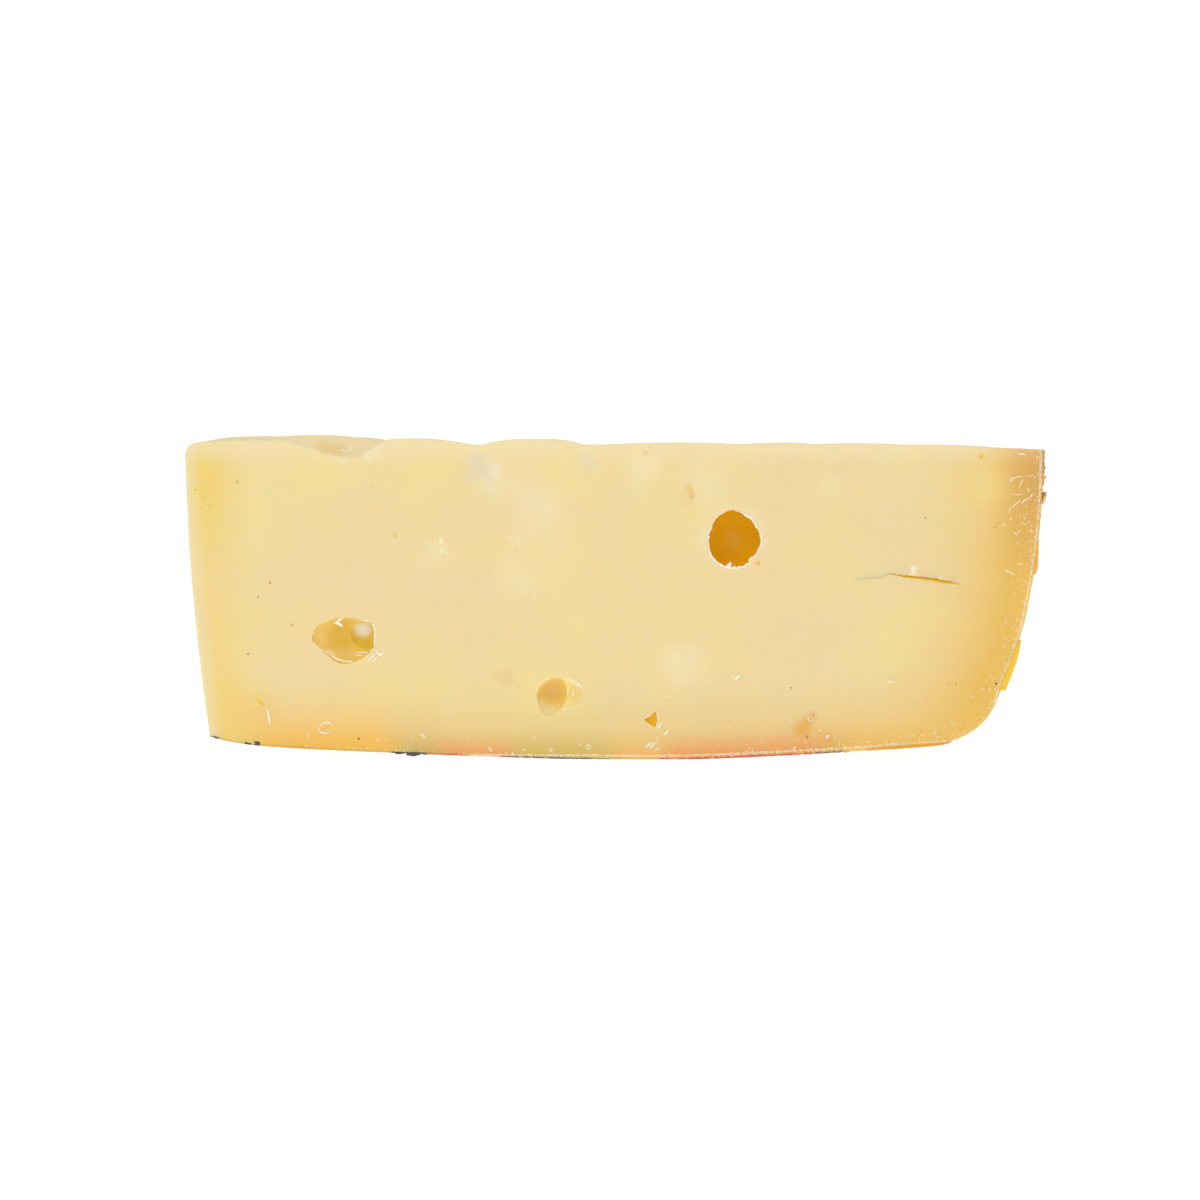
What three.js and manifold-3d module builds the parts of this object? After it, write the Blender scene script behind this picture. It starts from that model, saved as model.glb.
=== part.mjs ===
// A wedge of eyed, semi-hard cheese: the lower half of a wheel, cut through its middle and then to its
// centre twice, with a thin plastic rind coating that is chipped along the cuts.
//
// Millimetres, +Z up. While it is built, the wheel's axis is the Z axis, the front cut is the plane y = 0,
// the pointed end is at x = 0 and the piece stands on z = 0. At the end the middle of its base is moved
// to the origin: +X runs from the point to the rind and -Y is the front cut.
import * as THREE from 'three';
import { mergeVertices } from 'three/addons/utils/BufferGeometryUtils.js';
import Module from 'manifold-3d';

const wasm = await Module();
wasm.setup();

// ---- Driving dimensions of the wheel ----
const WHEEL_RADIUS = 171.8;
const WIDEST_AT = 61;             // height at which the rind bulges most
const CUT_HEIGHT = 63;            // the level cut through the middle of the wheel
const SIDE_ARC = 150;             // radius of the bulging side, in section
const CORNER_ARC = 16.2;          // radius between side and underside
const DOME_ARC = 250;             // radius of the underside's outer part
const FLAT_INNER = 81;            // the wheel has settled flat between these two radii
const FLAT_OUTER = 117;
const DOME_TILT = 0.04;           // slope, in radians, with which that part leaves the flat
const INNER_RISE = 0.042;         // slope of the underside from the flat to the middle
const INNER_EASE = 12;            // length over which that slope sets in
const POINT_RISE = 4;             // the soft point curls up under the knife
const POINT_REACH = 6;
const COAT = 0.6;                 // thickness of the plastic coating
const WHEEL_STEPS = 132;          // facets round the whole wheel
const ARC_STEPS = 7;

// ---- Driving dimensions of the cuts ----
const WEDGE_ANGLE = THREE.MathUtils.degToRad(27);
const BLUNT = 1.3;                // the point's flattened end is this far from where the cuts would meet
const LEAN = 5.6;                 // the point's lower end stands back from its upper end
const LEAN_BOW = 0.83;            // share of the lean that comes in a curve
const EDGE_RADIUS = 0.9;          // soft edges round the level cut and down the point
const REACH = 180;                // the knives run out past the rind
const BELOW = -6;                 // and below the underside
const LENGTH_STEPS = 54;
const DEPTH_STEPS = 9;
const HEIGHT_STEPS = 10;

// The level cut was made in short strokes: each leaves a low crown across the cut.
// [middle, half width, height, fullness]
const STROKES = [
  [21, 20, 1.9, 4],
  [46.5, 12, 1.25, 2],
  [70.8, 10, 1.1, 3],
  [98, 12.5, 0.3, 2],
  [120.5, 6, 0.28, 2],
  [136, 9, 0.12, 2],
  [155, 8, 0.25, 2],
];
const STROKE_SLANT = 0.08;        // the strokes run slightly askew to the front cut
const STROKE_BASE = -0.25;
const LEVEL_FROM = 80;            // past here the strokes die away
const LEVEL_TO = 96;
const RIND_DROP = 1.1;            // the cut falls away towards the rind
const RIND_DROP_LENGTH = 37;
const FIRST_STROKE_FRONT = 0.42;  // the first crown is pressed down where it meets the front cut
const FIRST_STROKE_RUN = 5;

// ---- Eyes (gas holes) and other openings ----
// Each: place on its cut, half sizes of the hole along and up the cut, its depth radius, how far its middle
// lies behind the cut, its turn in degrees, and how uneven its wall is.
const FRONT_EYES = [
  { x: 109.7, z: 44.1, along: 6.1, up: 6.7, deep: 8, sink: 4.2, turn: 8, uneven: 0.03 },
  { x: 30.4, z: 23.5, along: 5.6, up: 4.4, deep: 5, sink: 0.4, turn: -6, uneven: 0.06 },
  { x: 35.0, z: 24.7, along: 2.7, up: 2.8, deep: 6, sink: 3.4, turn: 0, uneven: 0.03 },
  { x: 74.5, z: 12.6, along: 4.9, up: 3.4, deep: 4, sink: 0.4, turn: 36, uneven: 0.05 },
  { x: 76.8, z: 13.0, along: 1.4, up: 2.3, deep: 2, sink: 0.15, turn: -8, uneven: 0.03 },
  { x: 93.1, z: 8.0, along: 1.6, up: 1.6, deep: 3, sink: 0.2, turn: 20, uneven: 0.12 },
  { x: 14.9, z: 11.5, along: 1.0, up: 0.5, deep: 1.4, sink: 0.13, turn: -50, uneven: 0.05 },
];
const BACK_EYES = [
  { x: 62, z: 41, along: 5.7, up: 5.2, deep: 7, sink: 3, turn: 15, uneven: 0.05 },
  { x: 130, z: 21, along: 4.6, up: 5.6, deep: 6, sink: 1.5, turn: -20, uneven: 0.05 },
  { x: 98, z: 51, along: 2.5, up: 2.2, deep: 3.5, sink: 0.8, turn: 0, uneven: 0.04 },
  { x: 50, z: 15, along: 2.8, up: 2.0, deep: 3, sink: 0.3, turn: 40, uneven: 0.08 },
  { x: 146, z: 47, along: 1.9, up: 1.6, deep: 3, sink: 0.3, turn: 10, uneven: 0.05 },
];
const TOP_EYES = [
  { x: 101, y: 23, along: 5.2, across: 4.7, deep: 6.5, sink: 2.4, turn: 25, uneven: 0.05 },
  { x: 139, y: 47, along: 3.8, across: 4.5, deep: 5, sink: 1, turn: -15, uneven: 0.05 },
  { x: 126, y: 17, along: 1.8, across: 1.5, deep: 2.6, sink: 0.2, turn: 0, uneven: 0.08 },
];
// An eye that the level cut opened at its edge with the front cut.
const BROKEN_EYE = { x: 30.1, y: 0.45, z: 63.9, along: 7.7, across: 4.2, up: 3.3, uneven: 0.05 };
const EYE_DETAIL = 4;
const SMALL_EYE_DETAIL = 2;
const SMALL_EYE = 2.5;

// A crack that opened as the paste dried, thin as a card.
const CRACK = { x: 140.5, z: 37.1, length: 14.2, width: 0.5, bow: 0.45, depth: 3.5, fall: -8.5 };
const CRACK_STEPS = 7;

// Chips in the coating beside the cuts: [x, z on the wheel's section, turn of the section there,
// half length along the section, half length round the wheel].
const FRONT_CHIPS = [
  [171.0, 48.6, 4, 7.1, 5.5],
  [168.6, 30.0, 12, 7.0, 8.5],
  [159.8, 8.2, 47, 8.0, 6.0],
  [133.5, 1.0, 84, 2.7, 2.4],
  [60.0, 0.6, 92, 3.4, 2.0],
];
const BACK_CHIPS = [
  [171.6, 56.0, 2, 4.2, 3.5],
  [167.0, 24.5, 16, 5.5, 4.6],
  [151.0, 3.5, 76, 6.0, 5.2],
  [97.0, 0.0, 90, 4.5, 2.6],
];
const CHIP_THROUGH = 1.7;         // reaches through the coating, whose inner side the paste fills again
const CHIP_UNEVEN = 0.16;
const OFF_CUT = 0.21;             // a chip's middle lies just beside the cut
const SMALLEST = 0.03;            // slivers that the cuts leave are cleaned away below this

// ---- Solids from three.js geometries ----
function solid(geometry) {
  const bare = geometry.clone();
  bare.deleteAttribute('normal');
  bare.deleteAttribute('uv');
  const merged = mergeVertices(bare, 1e-4);
  const mesh = new wasm.Mesh({
    numProp: 3,
    vertProperties: Float32Array.from(merged.attributes.position.array),
    triVerts: Uint32Array.from(merged.index.array),
  });
  mesh.merge();
  return new wasm.Manifold(mesh);
}

function geometryOf(body) {
  const mesh = body.getMesh();
  const geometry = new THREE.BufferGeometry();
  geometry.setAttribute('position', new THREE.BufferAttribute(mesh.vertProperties, 3));
  geometry.setIndex(new THREE.BufferAttribute(mesh.triVerts, 1));
  geometry.computeVertexNormals();
  return geometry;
}

function moveVertices(geometry, place) {
  const points = geometry.attributes.position;
  const point = new THREE.Vector3();
  for (let i = 0; i < points.count; i += 1) {
    place(point.fromBufferAttribute(points, i));
    points.setXYZ(i, point.x, point.y, point.z);
  }
  return geometry;
}

// ---- The wheel ----
// The middle of an arc that touches two larger arcs from inside, in the section's x and z.
function cornerMiddle(side, dome) {
  const apart = dome.middle.clone().sub(side.middle);
  const span = apart.length();
  const along = (side.reach ** 2 - dome.reach ** 2 + span ** 2) / (2 * span);
  const aside = Math.sqrt(side.reach ** 2 - along ** 2);
  apart.normalize();
  return new THREE.Vector2(
    side.middle.x + along * apart.x + aside * apart.y,
    side.middle.y + along * apart.y - aside * apart.x,
  );
}

function arcPoints(middle, radius, from, to) {
  const path = new THREE.Path();
  path.absarc(middle.x, middle.y, radius, from, to, to < from);
  return path.getPoints(ARC_STEPS);
}

// Half of the wheel's section, from the axis along the underside, round the corner and up the side.
// inset 0 is the coating's outside, and inset COAT is the paste.
function wheelSection(inset) {
  const side = { middle: new THREE.Vector2(WHEEL_RADIUS - SIDE_ARC, WIDEST_AT), reach: SIDE_ARC - CORNER_ARC };
  const domeMiddle = new THREE.Vector2(
    FLAT_OUTER - DOME_ARC * Math.sin(DOME_TILT),
    DOME_ARC * Math.cos(DOME_TILT),
  );
  const dome = { middle: domeMiddle, reach: DOME_ARC - CORNER_ARC };
  const corner = cornerMiddle(side, dome);
  const fromDome = Math.atan2(corner.y - dome.middle.y, corner.x - dome.middle.x);
  const fromSide = Math.atan2(corner.y - side.middle.y, corner.x - side.middle.x);
  const points = [];
  for (let step = 0; step <= 2 * ARC_STEPS; step += 1) {
    const r = (FLAT_INNER * step) / (2 * ARC_STEPS);
    const out = FLAT_INNER - r;
    const rise = (INNER_RISE * out ** 2) / (out + INNER_EASE) + POINT_RISE * Math.exp(-r / POINT_REACH);
    points.push(new THREE.Vector2(r, inset + rise * (step < 2 * ARC_STEPS ? 1 : 0)));
  }
  points.push(...arcPoints(dome.middle, DOME_ARC - inset, DOME_TILT - Math.PI / 2, fromDome));
  points.push(...arcPoints(corner, CORNER_ARC - inset, fromDome, fromSide).slice(1));
  points.push(...arcPoints(side.middle, SIDE_ARC - inset, fromSide, 0).slice(1));
  points.push(new THREE.Vector2(WHEEL_RADIUS - inset, CUT_HEIGHT + EDGE_RADIUS * 4));
  points.push(new THREE.Vector2(0, CUT_HEIGHT + EDGE_RADIUS * 4));
  return points;
}

function wheel(inset) {
  const geometry = new THREE.LatheGeometry(wheelSection(inset), WHEEL_STEPS, Math.PI / WHEEL_STEPS);
  return solid(geometry.rotateX(Math.PI / 2));
}

// ---- The cuts ----
// Steps along one side of the block between the cuts: close together in the soft edges, even between.
function station(share, steps, length) {
  const edge = Math.min(EDGE_RADIUS, length / 4);
  const soft = [0, 0.35 * edge, edge];
  const index = Math.round(share * steps);
  if (index < soft.length) return soft[index];
  if (steps - index < soft.length) return length - soft[steps - index];
  const inner = (index - soft.length + 1) / (steps - 2 * (soft.length - 1));
  return edge + inner * (length - 2 * edge);
}

// A point that lies within the edge radius of two sides moves onto the round between them.
function softened(a, b, radius) {
  const fromA = radius - a;
  const fromB = radius - b;
  if (fromA <= 0 || fromB <= 0) return [a, b];
  const scale = radius / Math.hypot(fromA, fromB);
  return [radius - fromA * scale, radius - fromB * scale];
}

function strokes(x, y) {
  let height = STROKE_BASE + -STROKE_BASE * THREE.MathUtils.smoothstep(x, LEVEL_FROM, LEVEL_TO);
  STROKES.forEach(([middle, half, crown, fullness], index) => {
    const off = Math.min(1, Math.abs(x - middle - STROKE_SLANT * y) / half);
    const back = index === 0 ? THREE.MathUtils.smoothstep(y, 0, FIRST_STROKE_RUN) : 1;
    height += crown * (1 - off ** fullness) * THREE.MathUtils.lerp(FIRST_STROKE_FRONT, 1, back);
  });
  const fall = Math.max(0, x - (WHEEL_RADIUS - RIND_DROP_LENGTH)) / RIND_DROP_LENGTH;
  return height - RIND_DROP * fall ** 1.5;
}

function pointStandsBack(z) {
  const down = THREE.MathUtils.clamp((CUT_HEIGHT - z) / CUT_HEIGHT, 0, 1.1);
  return LEAN * ((1 - LEAN_BOW) * down + LEAN_BOW * down ** 2);
}

// What the three knives leave: the block between the front cut, the back cut and the level cut.
function blockBetweenCuts() {
  const geometry = new THREE.BoxGeometry(1, 1, 1, LENGTH_STEPS, DEPTH_STEPS, HEIGHT_STEPS);
  const height = CUT_HEIGHT - BELOW;
  return solid(moveVertices(geometry, (point) => {
    let along = station(point.x + 0.5, LENGTH_STEPS, REACH);
    const thickness = (BLUNT + along) * WEDGE_ANGLE;
    const edge = Math.min(EDGE_RADIUS, thickness / 4);
    let front = station(point.y + 0.5, DEPTH_STEPS, thickness);
    let back = thickness - front;
    let down = height - station(point.z + 0.5, HEIGHT_STEPS, height);
    [along, front] = softened(along, front, edge);
    [along, back] = softened(along, back, edge);
    [front, down] = softened(front, down, edge);
    [back, down] = softened(back, down, edge);
    [along, down] = softened(along, down, edge);
    const nearer = front < back;
    const turn = WEDGE_ANGLE * (nearer ? front / thickness : 1 - back / thickness);
    const level = CUT_HEIGHT - down;
    const x = (BLUNT + along) * Math.cos(turn);
    const y = (BLUNT + along) * Math.sin(turn);
    const crown = strokes(x, y) * THREE.MathUtils.clamp(level / CUT_HEIGHT, 0, 1);
    point.set(x - BLUNT + pointStandsBack(level), y, level + crown);
  }));
}

// ---- Holes ----
// A rounded lump with an uneven surface, long along X, deep along Y and high along Z before it is turned.
function lump(along, deep, up, uneven, seed) {
  const detail = Math.max(along, up) < SMALL_EYE ? SMALL_EYE_DETAIL : EYE_DETAIL;
  const geometry = new THREE.IcosahedronGeometry(1, detail);
  return moveVertices(geometry, (point) => {
    const waves = Math.sin(3.1 * point.x + seed) * Math.cos(2.7 * point.z - seed)
      + Math.sin(5.3 * point.z + 2 * seed) * Math.cos(4.1 * point.y + seed);
    point.multiplyScalar(1 + uneven * waves);
    point.multiply(new THREE.Vector3(along, deep, up));
  });
}

function faceEyes(list, cutAngle, inward) {
  return list.map((eye, index) => {
    const shape = lump(eye.along, eye.deep, eye.up, eye.uneven, index + 1);
    shape.rotateY(THREE.MathUtils.degToRad(-eye.turn));
    shape.translate(eye.x, inward * eye.sink, eye.z);
    return solid(shape.rotateZ(cutAngle));
  });
}

function topEyes() {
  return TOP_EYES.map((eye, index) => {
    const shape = lump(eye.along, eye.across, eye.deep, eye.uneven, index + 3);
    shape.rotateZ(THREE.MathUtils.degToRad(eye.turn));
    return solid(shape.translate(eye.x, eye.y, CUT_HEIGHT - eye.sink));
  });
}

function brokenEye() {
  const { x, y, z, along, across, up, uneven } = BROKEN_EYE;
  return solid(lump(along, across, up, uneven, 2).translate(x, y, z));
}

function crack() {
  const { x, z, length, width, bow, depth, fall } = CRACK;
  const upper = [];
  const lower = [];
  for (let step = 0; step <= CRACK_STEPS; step += 1) {
    const share = step / CRACK_STEPS;
    const middle = bow * Math.sin(2 * Math.PI * share);
    const half = (width / 2) * Math.sin(Math.PI * share);
    upper.push(new THREE.Vector2(length * share, middle + half));
    if (step > 0 && step < CRACK_STEPS) lower.unshift(new THREE.Vector2(length * share, middle - half));
  }
  const outline = new THREE.Shape([...upper, ...lower]);
  const geometry = new THREE.ExtrudeGeometry(outline, { depth: 2 * depth, bevelEnabled: false, steps: 1 });
  geometry.translate(0, 0, -depth).rotateZ(THREE.MathUtils.degToRad(fall)).rotateX(Math.PI / 2);
  return solid(geometry.translate(x, 0, z));
}

function chips(list, cutAngle) {
  return list.map(([x, z, turn, half, round], index) => {
    const shape = lump(CHIP_THROUGH, round, half, CHIP_UNEVEN, 3 * index + 1);
    shape.rotateY(THREE.MathUtils.degToRad(turn));
    return solid(shape.translate(x, OFF_CUT, z).rotateZ(cutAngle));
  });
}

// ---- The piece ----
function cheeseWedge() {
  const coating = [...chips(FRONT_CHIPS, 0), ...chips(BACK_CHIPS, WEDGE_ANGLE)]
    .reduce((whole, chip) => whole.subtract(chip), wheel(0));
  const openings = [
    ...faceEyes(FRONT_EYES, 0, 1),
    ...faceEyes(BACK_EYES, WEDGE_ANGLE, -1),
    ...topEyes(),
    brokenEye(),
    crack(),
  ];
  const piece = openings.reduce(
    (whole, opening) => whole.subtract(opening),
    coating.add(wheel(COAT)).intersect(blockBetweenCuts()),
  );
  const geometry = geometryOf(piece.simplify(SMALLEST));
  geometry.computeBoundingBox();
  const { min, max } = geometry.boundingBox;
  geometry.translate(-(min.x + max.x) / 2, -(min.y + max.y) / 2, -min.z);
  const paste = new THREE.MeshStandardMaterial({ color: 0xf3da9f, roughness: 0.55, metalness: 0 });
  const mesh = new THREE.Mesh(geometry, paste);
  mesh.name = 'cheese_wedge';
  return mesh;
}

const group = new THREE.Group();
group.add(cheeseWedge());

export default group;
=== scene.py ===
"""The looks of a cheese wedge: half a wheel of eyed, semi-hard cheese, cut twice to its centre.

Shapes are made in millimetres in the wheel's own place: the wheel's axis is Z, the front cut is the
plane y = 0, the pointed end is at x = 0 and the piece stands on z = 0. seat() then turns a mesh to
metres and moves it onto the frame's node.
"""
import math
import random

import bmesh
import bpy
from mathutils import Matrix, Vector, noise
from mathutils.bvhtree import BVHTree


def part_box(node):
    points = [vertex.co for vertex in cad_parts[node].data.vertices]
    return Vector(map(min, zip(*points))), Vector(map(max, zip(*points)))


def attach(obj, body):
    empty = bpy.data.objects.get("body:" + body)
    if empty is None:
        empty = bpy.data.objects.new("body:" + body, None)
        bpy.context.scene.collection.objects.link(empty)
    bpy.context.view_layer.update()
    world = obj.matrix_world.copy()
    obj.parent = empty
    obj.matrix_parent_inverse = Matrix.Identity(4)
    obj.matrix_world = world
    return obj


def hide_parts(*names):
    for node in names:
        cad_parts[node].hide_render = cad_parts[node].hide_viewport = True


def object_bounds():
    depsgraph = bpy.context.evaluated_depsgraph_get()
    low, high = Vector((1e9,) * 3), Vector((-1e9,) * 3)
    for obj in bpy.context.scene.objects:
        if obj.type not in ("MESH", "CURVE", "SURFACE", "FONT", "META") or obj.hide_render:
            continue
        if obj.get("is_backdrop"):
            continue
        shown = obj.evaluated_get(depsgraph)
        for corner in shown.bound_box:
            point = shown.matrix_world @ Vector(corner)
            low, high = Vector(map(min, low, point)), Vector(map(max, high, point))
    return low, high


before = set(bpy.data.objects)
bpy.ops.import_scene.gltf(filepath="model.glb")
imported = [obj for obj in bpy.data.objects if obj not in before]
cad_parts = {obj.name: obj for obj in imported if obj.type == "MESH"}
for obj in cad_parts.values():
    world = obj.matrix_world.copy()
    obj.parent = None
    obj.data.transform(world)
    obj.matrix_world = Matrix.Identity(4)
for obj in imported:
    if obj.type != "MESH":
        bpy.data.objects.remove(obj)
CAD_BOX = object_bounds()

bl_info = {
    "name": "Cheese Wedge",
    "version": (1, 0, 0),
    "blender": (4, 5, 0),
    "location": "View3D > Sidebar > Cheese",
    "description": "Cut paste, torn rind coating, shreds and a plain studio for one wedge of eyed cheese",
    "category": "Add Mesh",
}

MM = 0.001
NODE = "cheese_wedge"
LOW, HIGH = (Vector(corner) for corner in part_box(NODE))

# ---- The wheel's section, in millimetres ----
WIDEST_AT = 61          # height at which the rind bulges most
CUT_HEIGHT = 63.1       # the level cut through the middle of the wheel
RIND_RADIUS = 165       # about how far the rind's side is from the axis
SIDE_ARC, CORNER_ARC, DOME_ARC = 150, 17, 1200  # radii of the side, the corner and the dome below
DOME_TILT = 0.035       # slope, in radians, with which the dome leaves the flat
FLAT_INNER, FLAT_OUTER = 81, 102    # the wheel has settled flat between these two radii
WORN_DEPTH = 0.95       # the shoulder has worn flat: how far, at which height and over which reach
WORN_AT, WORN_REACH = 15, 6
INNER_RISE, INNER_EASE = 0.042, 12  # slope of the underside inside the flat, and how softly it starts
POINT_RISE, POINT_REACH = 4, 6      # the soft point curls up under the knife

# ---- The cuts, in millimetres ----
WEDGE_ANGLE = math.radians(27)
BLUNT = 1.3             # from the point's flattened end to where the cuts would meet
LEAN, LEAN_BOW = 5.6, 0.83  # the point's lower end stands back from its upper end, along a bow
EDGE_RADIUS = 0.5
REACH = 180             # how far out the cuts go
BELOW = -6              # how low they go
ABOVE = 4               # how far the swept rind and body reach up past the level cut
PAST_CUTS = 3           # degrees that the coating is swept past both cuts
PAST_POINT = 100        # the same for the wheel's body, which has to surround the point
# Strokes of the knife on the level cut: middle, half width, height and fullness of each crown.
STROKES = (
    (21, 20, 1.88, 4), (28.5, 8.5, 0.25, 2), (46.5, 12, 1.25, 2), (70.8, 10, 1.1, 3), (98, 12.5, 0.3, 2),
    (120.5, 6, 0.28, 2), (136, 9, 0.12, 2), (155, 8, 0.25, 2),
)
TIP_RADIUS = 1.9        # the point's upper corner has worn round
STROKE_SLANT = 0.08     # the strokes slant back over the level cut
STROKE_BASE = -0.1      # height between the strokes near the point, gone between two places further out
LEVEL_FROM, LEVEL_TO = 80, 96
FIRST_STROKE_FRONT = 0.46   # the first stroke is lower in front, and rises over this run
FIRST_STROKE_RUN = 5
RIND_DROP, RIND_DROP_LENGTH = 1.1, 37   # the level cut falls towards the rind
BROKEN_EYE = (17.5, 31.5, 34, 40.8)     # along the edge: where the dip starts, is deepest and ends
BROKEN_DEPTH, BROKEN_REACH = 3.4, 5.5
SINK_REACH = 12         # how far down the cuts follow what sinks at their top

# ---- The rest ----
CRUMBLE_SEED = 1        # for noise_vector, which the clock seeds otherwise
SAME_PLACE = 1e-4       # points nearer than this are one, in millimetres
SHAVING_STEPS = 60      # steps along a shaving's path
AIM = (82.88, 31.86)    # the middle of the picture, along and above the floor

CUT, EYE, RIND = range(3)   # which surface a face of the paste belongs to
SHARP = math.radians(42)    # an edge that turns more than this stays sharp


# ---- Sizes and colours that a user would change ----
def linear(code, alpha=1.0):
    """An sRGB hex colour as linear red, green, blue and alpha."""
    parts = [int(code[i : i + 2], 16) / 255 for i in (0, 2, 4)]
    return (*(p / 12.92 if p <= 0.04045 else ((p + 0.055) / 1.055) ** 2.4 for p in parts), alpha)


def colour_property(name, description, code):
    """A colour picker whose default is an sRGB hex value."""
    return bpy.props.FloatVectorProperty(
        name=name, description=description, default=linear(code), size=4, subtype="COLOR", min=0, max=1
    )


def number_property(name, description, default, low=0, **more):
    """A number with a lowest value."""
    return bpy.props.FloatProperty(name=name, description=description, default=default, min=low, **more)


def length_property(name, description, millimetres):
    """A length whose default is given in millimetres."""
    return number_property(name, description, millimetres * MM, unit="LENGTH", precision=5)


class PasteSettings(bpy.types.PropertyGroup):
    """The cut paste and its eyes."""

    grid: length_property("Grid", "Spacing of the mesh on the cuts", 0.75)
    wave: length_property("Waviness", "Height of the slow unevenness of the cuts", 0.1)
    lip: length_property("Eye lip", "How far the knife pulled the rim of an eye out of the cut", 0.05)
    ragged: length_property("Ragged rim", "How far the rim of an eye is torn in and out", 0.2)
    paste: colour_property("Paste", "Cheese in the middle of the cut", "EFD8A2")
    pale: colour_property("Dry paste", "Cheese dried pale along the edges", "ECDDB6")
    point: colour_property("Point", "Light that shines through the thin point", "EFD474")
    ripe: colour_property("Ripe paste", "Golden cheese beside the rind", "EBC05A")
    rind: colour_property("Dry rind", "Browner cheese under the rind near the wheel's middle", "DDAB58")
    # The deep eye colour is painted shade and bounce light inside the hollow; the shallow one is the wall
    # near the cut.
    eye: colour_property("Eye", "Deep wall of an eye", "FFCE1A")
    shallow: colour_property("Shallow eye", "Wall of an eye near the cut", "FCE6A0")


class CoatingSettings(bpy.types.PropertyGroup):
    """The plastic coating on the rind."""

    thickness: length_property("Thickness", "Thickness of the coating", 0.25)
    coat: colour_property("Coating", "The coating's own colour", "F2AE48")
    red: colour_property("Red field", "Print on the underside", "D8503A")
    slate: colour_property("Slate field", "Print on the underside", "667278")


class ShredSettings(bpy.types.PropertyGroup):
    """Crumbs, curls and flakes that the knife left."""

    rim: length_property("Torn rim", "Width of the lip that is torn up round an eye", 0.36)
    seed: bpy.props.IntProperty(name="Seed", description="Start of the random draws", default=11, min=0)
    crumbs: bpy.props.IntProperty(name="Crumbs", description="Crumbs beside the rind", default=220, min=0)


class StudioSettings(bpy.types.PropertyGroup):
    """The plain studio round the piece."""

    floor: colour_property("Floor", "Plain pale floor", "8C8C8C")
    glow: number_property("Floor glow", "Light that the floor gives off", 0.92)
    room: number_property("Room light", "Brightness of the white room on the piece", 0.58)
    front: number_property("Front light", "Power of the soft box in front", 2.5, unit="POWER")
    ceiling: number_property("Ceiling light", "Power of the wide soft light above", 56, unit="POWER")
    lens: number_property("Lens", "Focal length in millimetres", 100, 20, subtype="DISTANCE_CAMERA")
    wide: length_property("Picture width", "What the picture spans at the front cut", 240)


# ---- Helpers ----
def seat(bm):
    """Turn a shape from millimetres in the wheel's place to metres on the frame's node."""
    bmesh.ops.transform(bm, matrix=Matrix.Translation(LOW) @ Matrix.Scale(MM, 4), verts=bm.verts)


def turn(bm, angle, axis):
    """Turn a shape about one of the wheel's axes."""
    bmesh.ops.rotate(bm, verts=bm.verts, cent=(0, 0, 0), matrix=Matrix.Rotation(angle, 3, axis))


def shift(bm, *way):
    """Move a shape."""
    bmesh.ops.translate(bm, verts=bm.verts, vec=way)


def spin(bm, angle, steps):
    """Sweep a section round the wheel's axis, and merge what meets on the axis."""
    section = bm.verts[:] + bm.edges[:] + bm.faces[:]
    bmesh.ops.spin(bm, geom=section, cent=(0, 0, 0), axis=(0, 0, 1), angle=angle, steps=steps)
    bmesh.ops.remove_doubles(bm, verts=bm.verts, dist=SAME_PLACE)


def close_up(bm, material=0):
    """Give a closed shape one material, and turn its faces outward."""
    for face in bm.faces:
        face.material_index = material
    bmesh.ops.recalc_face_normals(bm, faces=bm.faces)
    return bm


def new_object(name, bm, materials=()):
    """An object at the origin that holds the shape."""
    mesh = bpy.data.meshes.new(name)
    bm.to_mesh(mesh)
    bm.free()
    for material in materials:
        mesh.materials.append(material)
    made = bpy.data.objects.new(name, mesh)
    bpy.context.scene.collection.objects.link(made)
    return made


def bake_modifiers(piece):
    """Give the piece the mesh that its modifiers make, and take the modifiers off."""
    shaped = bpy.data.meshes.new_from_object(piece.evaluated_get(bpy.context.evaluated_depsgraph_get()))
    old = piece.data
    shaped.name = old.name
    piece.modifiers.clear()
    piece.data = shaped
    bpy.data.meshes.remove(old)


def combine(piece, bm, operation):
    """Join, cut or trim the piece with another shape."""
    tool = new_object("tool", bm)
    step = piece.modifiers.new(operation, "BOOLEAN")
    step.object = tool
    step.operation = operation
    step.solver = "MANIFOLD"
    bake_modifiers(piece)
    mesh = tool.data
    bpy.data.objects.remove(tool)
    bpy.data.meshes.remove(mesh)


def smooth_between(value, low, high):
    """0 below low, 1 above high, and smooth in between."""
    share = min(1.0, max(0.0, (value - low) / (high - low)))
    return share * share * (3 - 2 * share)


def rough(point, size, seed=0.0):
    """Smooth noise from -1 to 1 at a feature size in millimetres."""
    return noise.noise(Vector((point[0] / size + seed, point[1] / size - seed, point[2] / size + 2 * seed)))


# ---- The wheel and the cuts ----
def arc(middle, radius, start, end, spacing):
    """Points along an arc in the section, a spacing apart."""
    steps = max(2, round(abs(end - start) * radius / spacing))
    angles = (start + (end - start) * i / steps for i in range(steps + 1))
    return [(middle[0] + radius * math.cos(a), middle[1] + radius * math.sin(a)) for a in angles]


def underside_rise(r):
    """Height of the coated underside inside the flat."""
    out = FLAT_INNER - r
    return INNER_RISE * out * out / (out + INNER_EASE) + POINT_RISE * math.exp(-r / POINT_REACH)


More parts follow.
